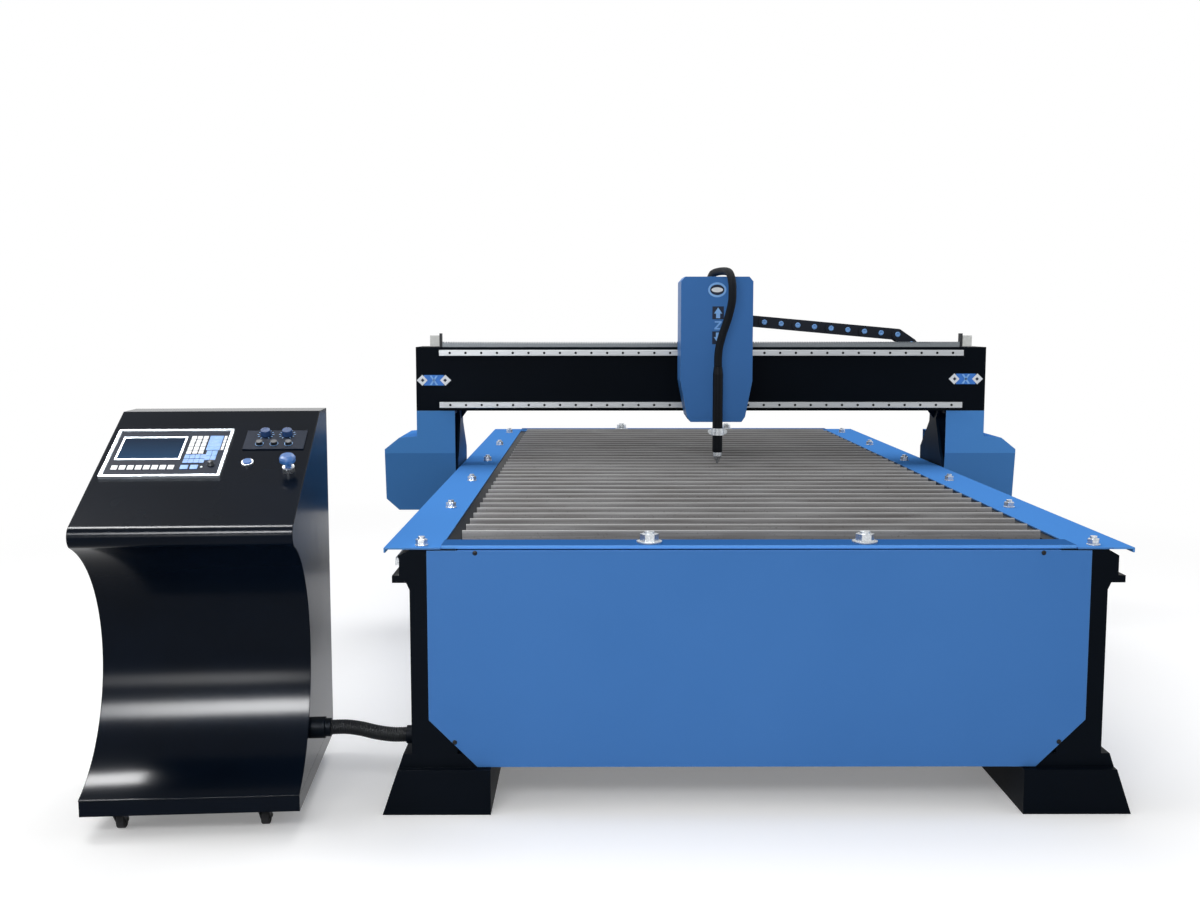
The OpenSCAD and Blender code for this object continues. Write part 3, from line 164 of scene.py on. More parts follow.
tone = tone_between(tree, level.outputs[0], linear("#05070B"), linear("#121820"))
bump = add(tree, "ShaderNodeBump", {"Height": level.outputs[0], "Strength": 0.35, "Distance": 0.0008})
tree.links.new(tone.outputs[2], shader.inputs["Base Color"])
tree.links.new(bump.outputs[0], shader.inputs["Normal"])
torch_lead.data.materials.append(sleeve)
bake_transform(torch_lead)
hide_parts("torch_lead")

# Hose: the ribbed plastic conduit that takes the cables from the console to the table. It is held
# by a fitting at each end and runs in one easy bend between them.
turn = math.radians(4)
console_across = Vector((math.cos(turn), math.sin(turn), 0))
console_depth = Vector((-math.sin(turn), math.cos(turn), 0))


def on_console(across, depth, height):
    """A place on the console, in millimetres from the front left corner of its base."""
    return at(-1628.743, -181, height) + (across * console_across + depth * console_depth) / 1000


hose_start = on_console(516 + 50.3, 205, 200)
hose_end = at(-865 - 20.3, 60, 182)
hose_line = smooth_route([hose_start, hose_start + 0.038 * console_across,
                          hose_end + Vector((-0.118, 0.006, 0.013)),
                          hose_end + Vector((-0.078, 0.002, 0.005)),
                          hose_end - Vector((0.038, 0, 0)), hose_end], 48)
hose_radius, groove, ribs = 0.019, 0.0014, 34
hose_radii = [hose_radius - groove * (1 - math.cos(2 * math.pi * ribs * i / (len(hose_line) - 1))) / 2
              for i in range(len(hose_line))]
hose = tube("ribbed_hose", hose_line, hose_radii, 40, Vector((0, 0, 1)))
# Moulded polyamide: black, half matt, a little dusty in the grooves between its ribs.
conduit, tree, shader = finish_of("moulded_polyamide_conduit", Roughness=0.5, Specular_IOR_Level=0.15)
place = add(tree, "ShaderNodeTexCoord").outputs["Object"]
dust = add(tree, "ShaderNodeTexNoise", {"Vector": place, "Scale": 1000 / 14, "Detail": 5.0})
tone = tone_between(tree, dust.outputs[0], linear("#06080B"), linear("#11151A"))
tree.links.new(tone.outputs[2], shader.inputs["Base Color"])
hose.data.materials.append(conduit)
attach(hose, "table")
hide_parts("hose")


# Welded frame: legs on splayed feet, box side beams, cross tubes, combs, gantry beam and legs in rolled
# steel, welded and then sprayed in satin black.
def dress(finish, *nodes):
    """Gives CAD nodes their finish through their material slots."""
    for name in nodes:
        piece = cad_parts[name]
        if not piece.material_slots:
            piece.data.materials.append(finish)
        for slot in piece.material_slots:
            slot.material = finish


# Sprayed enamel, satin: near black with a blue cast, cloudy over 260 mm, with an orange peel drawn at 9 mm.
satin, tree, shader = finish_of("satin_black_enamel", Specular_IOR_Level=0.03)
place = add(tree, "ShaderNodeTexCoord").outputs["Object"]
cloud = add(tree, "ShaderNodeTexNoise", {"Vector": place, "Scale": 1000 / 260, "Detail": 6.0})
peel = add(tree, "ShaderNodeTexNoise", {"Vector": place, "Scale": 1000 / 9, "Detail": 2.0})
soft_edge = add(tree, "ShaderNodeBevel", {"Radius": 0.002}, samples=4)
tone = tone_between(tree, cloud.outputs[0], linear("#04080E"), linear("#090F17"))
gloss = add(tree, "ShaderNodeMapRange", {0: cloud.outputs[0], 3: 0.34, 4: 0.5})
bump = add(tree, "ShaderNodeBump", {"Height": peel.outputs[0], "Strength": 0.06, "Distance": 0.0006,
                                    "Normal": soft_edge.outputs[0]})
tree.links.new(tone.outputs[2], shader.inputs["Base Color"])
tree.links.new(gloss.outputs[0], shader.inputs["Roughness"])
tree.links.new(bump.outputs[0], shader.inputs["Normal"])
dress(satin, "leg_frames", "side_beams", "cross_tubes", "slat_combs", "gantry_beam", "chain_tray",
      "carriage_plate", "hose_fittings")
# Gantry leg enamel: blue-black, half matt. The faces turned right are drawn blue, a painted light as if lit
# from that side.
leg_black, tree, shader = finish_of("black_enamel_painted_light_right", Specular_IOR_Level=0.02, Roughness=0.4)
place = add(tree, "ShaderNodeTexCoord").outputs["Object"]
cloud = add(tree, "ShaderNodeTexNoise", {"Vector": place, "Scale": 1000 / 180, "Detail": 5.0})
turned_x = add(tree, "ShaderNodeSeparateXYZ",
               {0: add(tree, "ShaderNodeNewGeometry").outputs["Normal"]}).outputs[0]
painted_light_right = add(tree, "ShaderNodeMapRange", {0: turned_x, 1: 0.3, 2: 0.9})
tone = tone_between(tree, cloud.outputs[0], linear("#0B1622"), linear("#14263A"))
# Painted light: faces turned right are drawn in a lit blue.
tone = tone_between(tree, painted_light_right.outputs[0], tone.outputs[2], linear("#2C5A8E"))
tree.links.new(tone.outputs[2], shader.inputs["Base Color"])
dress(leg_black, "gantry_legs")

# Blue sheet work: end and side panels, the rim round the bed, and the covers of gantry legs and torch lift,
# cut and folded from sheet steel and powder coated.
# Powder coat: mid blue, half gloss, orange peel drawn at 7 mm, with painted light and shade: faces turned up
# are drawn lighter, faces turned under darker, the end strips with a dark top and a pale front, the leg
# covers paler to the right, and the folds paler as painted highlights.
cover_reach = 0.875  # the leg covers begin at this distance from the middle of the bed
strip_reach = 0.7868  # the end strips lie within this distance, and between these heights
strip_low, strip_high = 0.6702, 0.68
blue, tree, shader = finish_of("blue_powder_coat")
place = add(tree, "ShaderNodeTexCoord").outputs["Object"]
cloud = add(tree, "ShaderNodeTexNoise", {"Vector": place, "Scale": 1000 / 420, "Detail": 5.0})
peel = add(tree, "ShaderNodeTexNoise", {"Vector": place, "Scale": 1000 / 7, "Detail": 2.0})
soft_edge = add(tree, "ShaderNodeBevel", {"Radius": 0.0025}, samples=4)
flat = add(tree, "ShaderNodeNewGeometry").outputs["Normal"]
rise = add(tree, "ShaderNodeSeparateXYZ", {0: flat}).outputs[2]
upward = add(tree, "ShaderNodeMapRange", {0: rise, 1: 0.5, 2: 0.95})
under = add(tree, "ShaderNodeMapRange", {0: rise, 1: -0.03, 2: -0.25, 4: 0.8})
facing = add(tree, "ShaderNodeVectorMath", {0: soft_edge.outputs[0], 1: flat}, operation="DOT_PRODUCT")
painted_fold_highlight = add(tree, "ShaderNodeMapRange", {0: facing.outputs["Value"], 1: 0.98, 2: 0.8, 4: 0.4})
tone = tone_between(tree, cloud.outputs[0], linear("#3A6DAC"), linear("#4376B6"))
# Painted light: faces turned up are drawn a lighter blue.
tone = tone_between(tree, upward.outputs[0], tone.outputs[2], linear("#4C89D3"))
spot = add(tree, "ShaderNodeSeparateXYZ", {0: place})
# Painted light on the leg covers: paler towards the right, on all but their tops.
aside = add(tree, "ShaderNodeMath", {0: spot.outputs[0], 1: at(0, 0, 0).x}, operation="SUBTRACT")
hand = add(tree, "ShaderNodeMapRange", {0: aside.outputs[0], 1: -1.0, 2: 1.0})
cover = tone_between(tree, hand.outputs[0], linear("#437BB7"), linear("#4A86C8"))
aside = add(tree, "ShaderNodeMath", {0: aside.outputs[0]}, operation="ABSOLUTE")
painted_cover_light = add(tree, "ShaderNodeMath", {0: aside.outputs[0], 1: cover_reach}, operation="GREATER_THAN")
painted_cover_light = add(tree, "ShaderNodeMapRange", {0: upward.outputs[0], 3: painted_cover_light.outputs[0], 4: 0.0})
tone = tone_between(tree, painted_cover_light.outputs[0], tone.outputs[2], cover.outputs[2])
# Painted shade: faces turned under are drawn darker.
tone = tone_between(tree, under.outputs[0], tone.outputs[2], linear("#27507F"))
# Painted shade and light on the end strips: their tops drawn dark, their front faces pale.
between = add(tree, "ShaderNodeMath", {0: aside.outputs[0], 1: strip_reach}, operation="LESS_THAN")
on_rim = add(tree, "ShaderNodeMath", {0: spot.outputs[2], 1: strip_low}, operation="GREATER_THAN")
low_rim = add(tree, "ShaderNodeMath", {0: spot.outputs[2], 1: strip_high}, operation="LESS_THAN")
strip = add(tree, "ShaderNodeMath", {0: between.outputs[0], 1: on_rim.outputs[0]}, operation="MULTIPLY")
strip = add(tree, "ShaderNodeMath", {0: strip.outputs[0], 1: low_rim.outputs[0]}, operation="MULTIPLY")
shade = tone_between(tree, upward.outputs[0], linear("#5E9FEC"), linear("#2F5F9C"))
tone = tone_between(tree, strip.outputs[0], tone.outputs[2], shade.outputs[2])
# Painted highlight: folds and edges are drawn paler.
tone = tone_between(tree, painted_fold_highlight.outputs[0], tone.outputs[2], linear("#8FB6E2"))
gloss = add(tree, "ShaderNodeMapRange", {0: cloud.outputs[0], 3: 0.34, 4: 0.46})
bump = add(tree, "ShaderNodeBump", {"Height": peel.outputs[0], "Strength": 0.05, "Distance": 0.0005,
                                    "Normal": soft_edge.outputs[0]})
sheen = add(tree, "ShaderNodeMapRange", {0: upward.outputs[0], 3: 0.08, 4: 0.0})
tree.links.new(tone.outputs[2], shader.inputs["Base Color"])
tree.links.new(sheen.outputs[0], shader.inputs["Specular IOR Level"])
tree.links.new(gloss.outputs[0], shader.inputs["Roughness"])
tree.links.new(bump.outputs[0], shader.inputs["Normal"])
dress(blue, "front_panel", "skirt_panels", "bed_rim", "leg_covers", "z_cover")

# Slats and slag tray: plain mild steel strips on edge, marked by heat and spatter, over a pan of mill sheet.
# Mill steel: warm grey and dull, with rolling streaks along each strip, drawn 9 mm wide and 300 mm long,
# scorched spots of spatter and upper edges rubbed pale by the sheets laid on them. Faces turned sideways are
# drawn black, a painted shade in the gaps at the slat ends and on the pan's side walls.
rub_low, slat_top = 0.684, 0.6895
mill, tree, shader = finish_of("heat_marked_mill_steel", Metallic=0.15, Specular_IOR_Level=0.3)
place = add(tree, "ShaderNodeTexCoord").outputs["Object"]
along = add(tree, "ShaderNodeMapping", {"Vector": place, "Scale": (0.03, 1.0, 1.0)})
streak = add(tree, "ShaderNodeTexNoise", {"Vector": along.outputs[0], "Scale": 1000 / 9, "Detail": 5.0})
patch = add(tree, "ShaderNodeTexNoise", {"Vector": place, "Scale": 1000 / 240, "Detail": 4.0})
speck = add(tree, "ShaderNodeTexNoise", {"Vector": place, "Scale": 1000 / 6, "Detail": 4.0})
rolled = add(tree, "ShaderNodeMapRange", {0: streak.outputs[0], 1: 0.3, 2: 0.7})
warm = add(tree, "ShaderNodeMapRange", {0: patch.outputs[0], 1: 0.35, 2: 0.65, 4: 0.5})
spatter = add(tree, "ShaderNodeMapRange", {0: speck.outputs[0], 1: 0.6, 2: 0.75, 4: 0.4})
height = add(tree, "ShaderNodeSeparateXYZ", {0: place}).outputs[2]
rubbed = add(tree, "ShaderNodeMapRange", {0: height, 1: rub_low, 2: slat_top, 4: 0.75})
tone = tone_between(tree, rolled.outputs[0], linear("#7E7D7E"), linear("#A6A6A7"))
tone = tone_between(tree, warm.outputs[0], tone.outputs[2], linear("#706C69"))
tone = tone_between(tree, spatter.outputs[0], tone.outputs[2], linear("#4A4542"))
tone = tone_between(tree, rubbed.outputs[0], tone.outputs[2], linear("#C4C4C4"))
# Painted shade: faces turned sideways, the slat ends and pan walls, are drawn black.
wall = add(tree, "ShaderNodeSeparateXYZ",
           {0: add(tree, "ShaderNodeNewGeometry").outputs["Normal"]}).outputs[0]
wall = add(tree, "ShaderNodeMath", {0: wall}, operation="ABSOLUTE")
painted_shade_walls = add(tree, "ShaderNodeMapRange", {0: wall.outputs[0], 1: 0.5, 2: 0.9})
tone = tone_between(tree, painted_shade_walls.outputs[0], tone.outputs[2], linear("#07090C"))
gloss = add(tree, "ShaderNodeMapRange", {0: streak.outputs[0], 3: 0.45, 4: 0.7})
bump = add(tree, "ShaderNodeBump", {"Height": speck.outputs[0], "Strength": 0.2, "Distance": 0.0008})
tree.links.new(tone.outputs[2], shader.inputs["Base Color"])
tree.links.new(gloss.outputs[0], shader.inputs["Roughness"])
tree.links.new(bump.outputs[0], shader.inputs["Normal"])
dress(mill, "slats", "slag_tray")


# Bolts and screws: zinc plated hexagon bolts on washers along the rim, and dark pan head screws that hold
# the front panel by its corners.
def turned(name, outline, places, ahead, sides=24):
    """Copies of one turned form along a direction, its outline in millimetres as radius and height."""
    mesh = bmesh.new()
    ahead = Vector(ahead).normalized()
    side = ahead.orthogonal().normalized()
    top = ahead.cross(side)
    for place in places:
        rings = []
        for r, h in outline:
            centre = place + ahead * (h / 1000)
            rings.append([mesh.verts.new(centre + r / 1000 * (math.cos(t) * side + math.sin(t) * top))
                          for t in (2 * math.pi * k / sides for k in range(sides))])
        for a, b in zip(rings, rings[1:]):
            for k in range(sides):
                j = (k + 1) % sides
                mesh.faces.new((a[k], a[j], b[j], b[k])).smooth = True
        mesh.faces.new(rings[-1])
        mesh.faces.new(list(reversed(rings[0])))
    data = bpy.data.meshes.new(name)
    mesh.to_mesh(data)
    mesh.free()
    piece = bpy.data.objects.new(name, data)
    bpy.context.scene.collection.objects.link(piece)
    return piece


# Zinc plate: bright and blue-white, with cloudy crystals about 5 mm across that change its gloss.
zinc, tree, shader = finish_of("bright_zinc_plate", Metallic=1.0)
place = add(tree, "ShaderNodeTexCoord").outputs["Object"]
crystal = add(tree, "ShaderNodeTexVoronoi", {"Vector": place, "Scale": 1000 / 5})
tone = tone_between(tree, crystal.outputs[0], linear("#E6E9EC"), linear("#B4BABF"))
gloss = add(tree, "ShaderNodeMapRange", {0: crystal.outputs[0], 3: 0.2, 4: 0.42})
soft_edge = add(tree, "ShaderNodeBevel", {"Radius": 0.0012}, samples=4)
tree.links.new(tone.outputs[2], shader.inputs["Base Color"])
tree.links.new(gloss.outputs[0], shader.inputs["Roughness"])
tree.links.new(soft_edge.outputs[0], shader.inputs["Normal"])
dress(zinc, "bed_bolts", "button_collars", "torch_clamp", "torch_nozzle")

# Blackened steel: dark brown-grey oxide with a slight oily gloss.
oxide, tree, shader = finish_of("blackened_steel", Specular_IOR_Level=0.2, Roughness=0.45)
place = add(tree, "ShaderNodeTexCoord").outputs["Object"]
bloom = add(tree, "ShaderNodeTexNoise", {"Vector": place, "Scale": 1000 / 10, "Detail": 3.0})
tone = tone_between(tree, bloom.outputs[0], linear("#0C0F13"), linear("#1F2329"))
tree.links.new(tone.outputs[2], shader.inputs["Base Color"])
pan_head = ((6, 0), (6, 0.6), (4.6, 0.6), (4.6, 1.6), (3.8, 2.6), (2.2, 3), (1.8, 3), (1.6, 1.8))
panel_screws = turned("panel_screws", pan_head,
                      [at(s * x, 0, z) for s in (-1, 1) for x, z in ((702, 661), (757, 181))],
                      (0, -1, 0))
panel_screws.data.materials.append(oxide)
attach(panel_screws, "table")

# Linear guides and gearing: ground rails with a row of capped screws, bearing blocks, hobbed racks and
# pinions, the lifting screw and the torch slide.
# Ground steel: pale grey with fine grinding marks, drawn 2 mm wide, and bright on its edges.
ground, tree, shader = finish_of("ground_bearing_steel", Metallic=0.85)
place = add(tree, "ShaderNodeTexCoord").outputs["Object"]
along = add(tree, "ShaderNodeMapping", {"Vector": place, "Scale": (0.02, 1.0, 1.0)})
grind = add(tree, "ShaderNodeTexNoise", {"Vector": along.outputs[0], "Scale": 1000 / 2, "Detail": 3.0})
tone = tone_between(tree, grind.outputs[0], linear("#9A9EA2"), linear("#CACDD0"))
gloss = add(tree, "ShaderNodeMapRange", {0: grind.outputs[0], 3: 0.26, 4: 0.44})
tree.links.new(tone.outputs[2], shader.inputs["Base Color"])
tree.links.new(gloss.outputs[0], shader.inputs["Roughness"])
dress(ground, "x_rails", "y_rails", "z_rails", "z_screw", "x_blocks", "y_blocks")
# Hobbed steel: darker, with cutter marks across the teeth and a film of oil.
hobbed, tree, shader = finish_of("hobbed_gear_steel", Metallic=0.8)
place = add(tree, "ShaderNodeTexCoord").outputs["Object"]
marks = add(tree, "ShaderNodeTexNoise", {"Vector": place, "Scale": 1000 / 4, "Detail": 4.0})
tone = tone_between(tree, marks.outputs[0], linear("#5C6165"), linear("#8B9196"))
gloss = add(tree, "ShaderNodeMapRange", {0: marks.outputs[0], 3: 0.3, 4: 0.5})
tree.links.new(tone.outputs[2], shader.inputs["Base Color"])
tree.links.new(gloss.outputs[0], shader.inputs["Roughness"])
dress(hobbed, "x_rack", "y_racks", "x_pinion", "left_pinion", "right_pinion")
# Milled aluminium: light grey with cutter swirls about 3 mm wide.
milled, tree, shader = finish_of("milled_aluminium", Metallic=0.9)
place = add(tree, "ShaderNodeTexCoord").outputs["Object"]
swirl = add(tree, "ShaderNodeTexWave", {"Vector": place, "Scale": 1000 / 20, "Distortion": 2.0})
tone = tone_between(tree, swirl.outputs[0], linear("#A9AEB3"), linear("#C3C8CC"))
gloss = add(tree, "ShaderNodeMapRange", {0: swirl.outputs[0], 3: 0.3, 4: 0.4})
tree.links.new(tone.outputs[2], shader.inputs["Base Color"])
tree.links.new(gloss.outputs[0], shader.inputs["Roughness"])
dress(milled, "z_slide")

# Moulded screw caps: black, matt, slightly dusty.
cap_black, tree, shader = finish_of("black_moulded_caps", Roughness=0.7, Specular_IOR_Level=0.1)
place = add(tree, "ShaderNodeTexCoord").outputs["Object"]
dust = add(tree, "ShaderNodeTexNoise", {"Vector": place, "Scale": 1000 / 8, "Detail": 3.0})
tone = tone_between(tree, dust.outputs[0], linear("#0A0B0D"), linear("#1C1E21"))
tree.links.new(tone.outputs[2], shader.inputs["Base Color"])
screw_cap = ((4.8, -0.3), (4.8, 0.3), (4.3, 0.35), (3.6, 0.2), (1.0, 0.2))
x_caps = turned("x_rail_caps", screw_cap,
                [at(60 * k, 1739, z) for z in (912, 1111) for k in range(-16, 17)], (0, -1, 0))
x_caps.data.materials.append(cap_black)
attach(x_caps, "gantry")
for hand in (-1, 1):
    y_caps = turned("left_rail_caps" if hand < 0 else "right_rail_caps", screw_cap,
                    [at(hand * 908, 90 + 60 * k, 629) for k in range(55)], (hand, 0, 0), sides=16)
    y_caps.data.materials.append(cap_black)
    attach(y_caps, "table")


# Axis marks: the generic X and Z letters with their arrows, cut from coloured film and
# stuck on beam and cover, and a blank oval above them on the cover.
def film(name, outlines, origin, across, up, out):
    """Flat film cut to outlines in millimetres, stuck on a face."""
    mesh = bmesh.new()
    across, up, out = Vector(across), Vector(up), Vector(out)
    for outline in outlines:
        low = [mesh.verts.new(origin + (x * across + y * up) / 1000 + out * 0.00005) for x, y in outline]
        top = [mesh.verts.new(v.co + out * 0.00025) for v in low]
        mesh.faces.new(top)
        for i in range(len(low)):
            j = (i + 1) % len(low)
            mesh.faces.new((low[i], low[j], top[j], top[i]))
    bmesh.ops.recalc_face_normals(mesh, faces=mesh.faces)
    data = bpy.data.meshes.new(name)
    mesh.to_mesh(data)
    mesh.free()
    piece = bpy.data.objects.new(name, data)
    bpy.context.scene.collection.objects.link(piece)
    return piece


# Vinyl film in white, pale blue and navy: half matt, a little soiled over 25 mm.
films = {}
for shade, clean, soiled in (("white", "#EEF1F4", "#C9CFD6"), ("pale_blue", "#8DBDF2", "#6CA3E2"),
                             ("blue", "#3F82DA", "#356FBE"), ("navy", "#0D1F3C", "#0A172C")):
    films[shade], tree, shader = finish_of(f"{shade}_vinyl_film", Roughness=0.5, Specular_IOR_Level=0.3)
    place = add(tree, "ShaderNodeTexCoord").outputs["Object"]
    soil = add(tree, "ShaderNodeTexNoise", {"Vector": place, "Scale": 1000 / 25, "Detail": 4.0})
    tone = tone_between(tree, soil.outputs[0], linear(clean), linear(soiled))
    tree.links.new(tone.outputs[2], shader.inputs["Base Color"])
letter_x = [[(-16, -18), (-8, -18), (16, 18), (8, 18)], [(8, -18), (16, -18), (-8, 18), (-16, 18)]]
heads_x = [[(s * 24, 0), (s * 44, -21), (s * 66, 0), (s * 44, 21)] for s in (-1, 1)]
holes_x = [[(s * 36, 0), (s * 43, -7), (s * 50, 0), (s * 43, 7)] for s in (-1, 1)]
for hand, x, z in (("left", -1024, 1006), ("right", 1017, 1011)):
    for layer, (shade, outlines) in enumerate((("blue", [[(-38, -20), (38, -20), (38, 20), (-38, 20)]]),
                                               ("white", heads_x), ("navy", holes_x),
                                               ("pale_blue", letter_x))):
        mark = film(f"{hand}_axis_{shade}", outlines, at(x, 1757 - 0.3 * layer, z), (1, 0, 0), (0, 0, 1),
                    (0, -1, 0))
        mark.data.materials.append(films[shade])
        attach(mark, "gantry")
letter_z = [[(-12, 10), (-12, 15), (13, 15), (13, 10)], [(-13, -15), (-13, -10), (12, -10), (12, -15)],
            [(-13, -10), (-5, -10), (13, 10), (5, 10)]]
heads_z = [[(-15, s * 43), (0, s * 65), (15, s * 43), (7.5, s * 43), (7.5, s * 26), (-7.5, s * 26),
            (-7.5, s * 43)] for s in (-1, 1)]
grounds_z = [[(-21, s * 22), (21, s * 22), (21, s * 69), (-21, s * 69)] for s in (-1, 1)]
for layer, (shade, outlines) in enumerate((("navy", grounds_z), ("pale_blue", heads_z + letter_z))):
    mark = film(f"lift_axis_{shade}", outlines, at(44, 1557 - 0.3 * layer, 1216), (1, 0, 0), (0, 0, 1),
                (0, -1, 0))
    mark.data.materials.append(films[shade])
    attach(mark, "carriage")
for layer, (shade, wide, high) in enumerate((("pale_blue", 33, 27), ("navy", 26, 19), ("white", 21, 9))):
    oval = [[(wide * math.cos(t), high * math.sin(t)) for t in (math.pi * k / 24 for k in range(48))]]
    badge = film(f"blank_oval_{shade}", oval, at(40, 1557 - 0.3 * layer, 1345), (1, 0, 0), (0, 0, 1),
                 (0, -1, 0))
    badge.data.materials.append(films[shade])
    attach(badge, "carriage")

# End stops: pale moulded buffers on dark steel plates, bolted to the beam's top at the ends of the rack.
# Moulded polyurethane: pale grey, matt, faintly mottled.
block_reach = 1.0011  # plates end and blocks begin at this distance from the middle
buffer_grey, tree, shader = finish_of("moulded_polyurethane", Roughness=0.6)
place = add(tree, "ShaderNodeTexCoord").outputs["Object"]
mottle = add(tree, "ShaderNodeTexNoise", {"Vector": place, "Scale": 1000 / 12, "Detail": 4.0})
tone = tone_between(tree, mottle.outputs[0], linear("#B9BAB6"), linear("#DADBD7"))
side = add(tree, "ShaderNodeSeparateXYZ", {0: place}).outputs[0]
reach = add(tree, "ShaderNodeMath", {0: side, 1: at(0, 0, 0).x}, operation="SUBTRACT")
reach = add(tree, "ShaderNodeMath", {0: reach.outputs[0]}, operation="ABSOLUTE")
on_block = add(tree, "ShaderNodeMath", {0: reach.outputs[0], 1: block_reach}, operation="GREATER_THAN")
tone = tone_between(tree, on_block.outputs[0], linear("#15181D"), tone.outputs[2])
tree.links.new(tone.outputs[2], shader.inputs["Base Color"])
dress(buffer_grey, "beam_stops")

# Drag chain: moulded nylon links, snapped together by the round bosses on every second link. Its lower run
# lies in the tray, and the caps of the bend between the runs go with the bend, which runs along at half
# speed. On the machine the upper run goes with the carriage, but here its links and caps, like those of the
# lower run, are given to no body.
# Moulded nylon: black, half matt, with the fine grain of a spark-eroded mould, drawn at 4 mm.
nylon, tree, shader = finish_of("moulded_nylon", Specular_IOR_Level=0.2)
place = add(tree, "ShaderNodeTexCoord").outputs["Object"]
grain = add(tree, "ShaderNodeTexNoise", {"Vector": place, "Scale": 1000 / 4, "Detail": 3.0})
tone = tone_between(tree, grain.outputs[0], linear("#0B1019"), linear("#182130"))
gloss = add(tree, "ShaderNodeMapRange", {0: grain.outputs[0], 3: 0.4, 4: 0.6})
bump = add(tree, "ShaderNodeBump", {"Height": grain.outputs[0], "Strength": 0.12, "Distance": 0.0005})
tree.links.new(tone.outputs[2], shader.inputs["Base Color"])
tree.links.new(gloss.outputs[0], shader.inputs["Roughness"])
tree.links.new(bump.outputs[0], shader.inputs["Normal"])
dress(nylon, "chain_bend")
# Boss caps: the same nylon in a pale blue grey, worn smooth.
cap_blue, tree, shader = finish_of("blue_grey_nylon", Roughness=0.4)
place = add(tree, "ShaderNodeTexCoord").outputs["Object"]
wear = add(tree, "ShaderNodeTexNoise", {"Vector": place, "Scale": 1000 / 7, "Detail": 3.0})
tone = tone_between(tree, wear.outputs[0], linear("#5A97E0"), linear("#86B8F0"))
tree.links.new(tone.outputs[2], shader.inputs["Base Color"])
link_pitch, upper_links, bend_links, lower_links = 67, 10, 3, 12
run_slope = 5.2
chain_y, chain_half = 2010, 35.3
slope = math.radians(run_slope)
bend_start = (804, 1179)
joints = [Vector((bend_start[0] - (upper_links - i) * link_pitch * math.cos(slope), 0,
                  bend_start[1] + (upper_links - i) * link_pitch * math.sin(slope)))
          for i in range(upper_links + 1)]
for i in range(bend_links):
    heading = -math.radians(run_slope + (180 - run_slope) / bend_links * (i + 0.5))
    joints.append(joints[-1] + link_pitch * Vector((math.cos(heading), 0, math.sin(heading))))
for i in range(lower_links):
    joints.append(joints[-1] - Vector((link_pitch, 0, 0)))
boss_cap = ((10.5, -0.2), (10.5, 0.9), (9.4, 1.5), (4, 1.7), (3.2, 0.8))
run_of = {"upper": (0, 11), "bend": (11, 13), "lower": (13, 26)}
for run, (first, last) in run_of.items():
    caps = turned(f"chain_{run}_caps", boss_cap,
                  [at(p.x, chain_y - chain_half, p.z) for p in joints[first:last]], (0, -1, 0))
    back_caps = turned(f"chain_{run}_back_caps", boss_cap,
                       [at(p.x, chain_y + chain_half, p.z) for p in joints[first:last]], (0, 1, 0))
    pieces = [caps, back_caps]
    for cap in pieces:
        cap.data.materials.append(cap_blue)
    if run == "bend":
        for piece in pieces:
            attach(piece, "chain_bend")
        continue
    links = bpy.data.objects.new(f"chain_{run}_links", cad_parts[f"chain_{run}"].data.copy())
    bpy.context.scene.collection.objects.link(links)
    links.data.materials.clear()
    links.data.materials.append(nylon)
    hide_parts(f"chain_{run}")
    for piece in pieces + [links]:
        if run == "upper":
            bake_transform(piece)
        else:
            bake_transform(piece)

# Drives and torch: black anodised motors, and the torch's moulded sleeve with its bright shield cap.
# Anodised housing: black, fine satin.
anodised, tree, shader = finish_of("black_anodised_housing", Metallic=0.4)
place = add(tree, "ShaderNodeTexCoord").outputs["Object"]
blast = add(tree, "ShaderNodeTexNoise", {"Vector": place, "Scale": 1000 / 3, "Detail": 2.0})
tone = tone_between(tree, blast.outputs[0], linear("#15181C"), linear("#23272D"))
gloss = add(tree, "ShaderNodeMapRange", {0: blast.outputs[0], 3: 0.38, 4: 0.5})
tree.links.new(tone.outputs[2], shader.inputs["Base Color"])
tree.links.new(gloss.outputs[0], shader.inputs["Roughness"])
dress(anodised, "y_drives", "carriage_motors")
# Torch sleeve: black phenolic, smooth, with faint rub marks round it.
phenolic, tree, shader = finish_of("black_phenolic_sleeve", Specular_IOR_Level=0.1)
place = add(tree, "ShaderNodeTexCoord").outputs["Object"]
rub = add(tree, "ShaderNodeTexNoise", {"Vector": place, "Scale": 1000 / 8, "Detail": 5.0})
tone = tone_between(tree, rub.outputs[0], linear("#06080C"), linear("#0F141B"))
gloss = add(tree, "ShaderNodeMapRange", {0: rub.outputs[0], 3: 0.25, 4: 0.45})
tree.links.new(tone.outputs[2], shader.inputs["Base Color"])
tree.links.new(gloss.outputs[0], shader.inputs["Roughness"])
dress(phenolic, "torch_body")

# Console: a folded steel cabinet with a hollowed front, a round nose and a sloped desk, on a plinth
# with casters.
# Gloss enamel: deep black, hard and shiny, with the slight waviness of painted sheet over about 120 mm.
gloss_black, tree, shader = finish_of("gloss_black_enamel", Specular_IOR_Level=0.05, Roughness=0.17)
place = add(tree, "ShaderNodeTexCoord").outputs["Object"]
wave = add(tree, "ShaderNodeTexNoise", {"Vector": place, "Scale": 1000 / 120, "Detail": 1.0})
haze = add(tree, "ShaderNodeTexNoise", {"Vector": place, "Scale": 1000 / 300, "Detail": 4.0})
tone = tone_between(tree, haze.outputs[0], linear("#03060B"), linear("#09121F"))
soft_edge = add(tree, "ShaderNodeBevel", {"Radius": 0.004}, samples=4)
bump = add(tree, "ShaderNodeBump", {"Height": wave.outputs[0], "Strength": 0.05, "Distance": 0.004,
                                    "Normal": soft_edge.outputs[0]})
tree.links.new(tone.outputs[2], shader.inputs["Base Color"])
tree.links.new(bump.outputs[0], shader.inputs["Normal"])
dress(gloss_black, "console_shell", "console_plinth", "console_back")

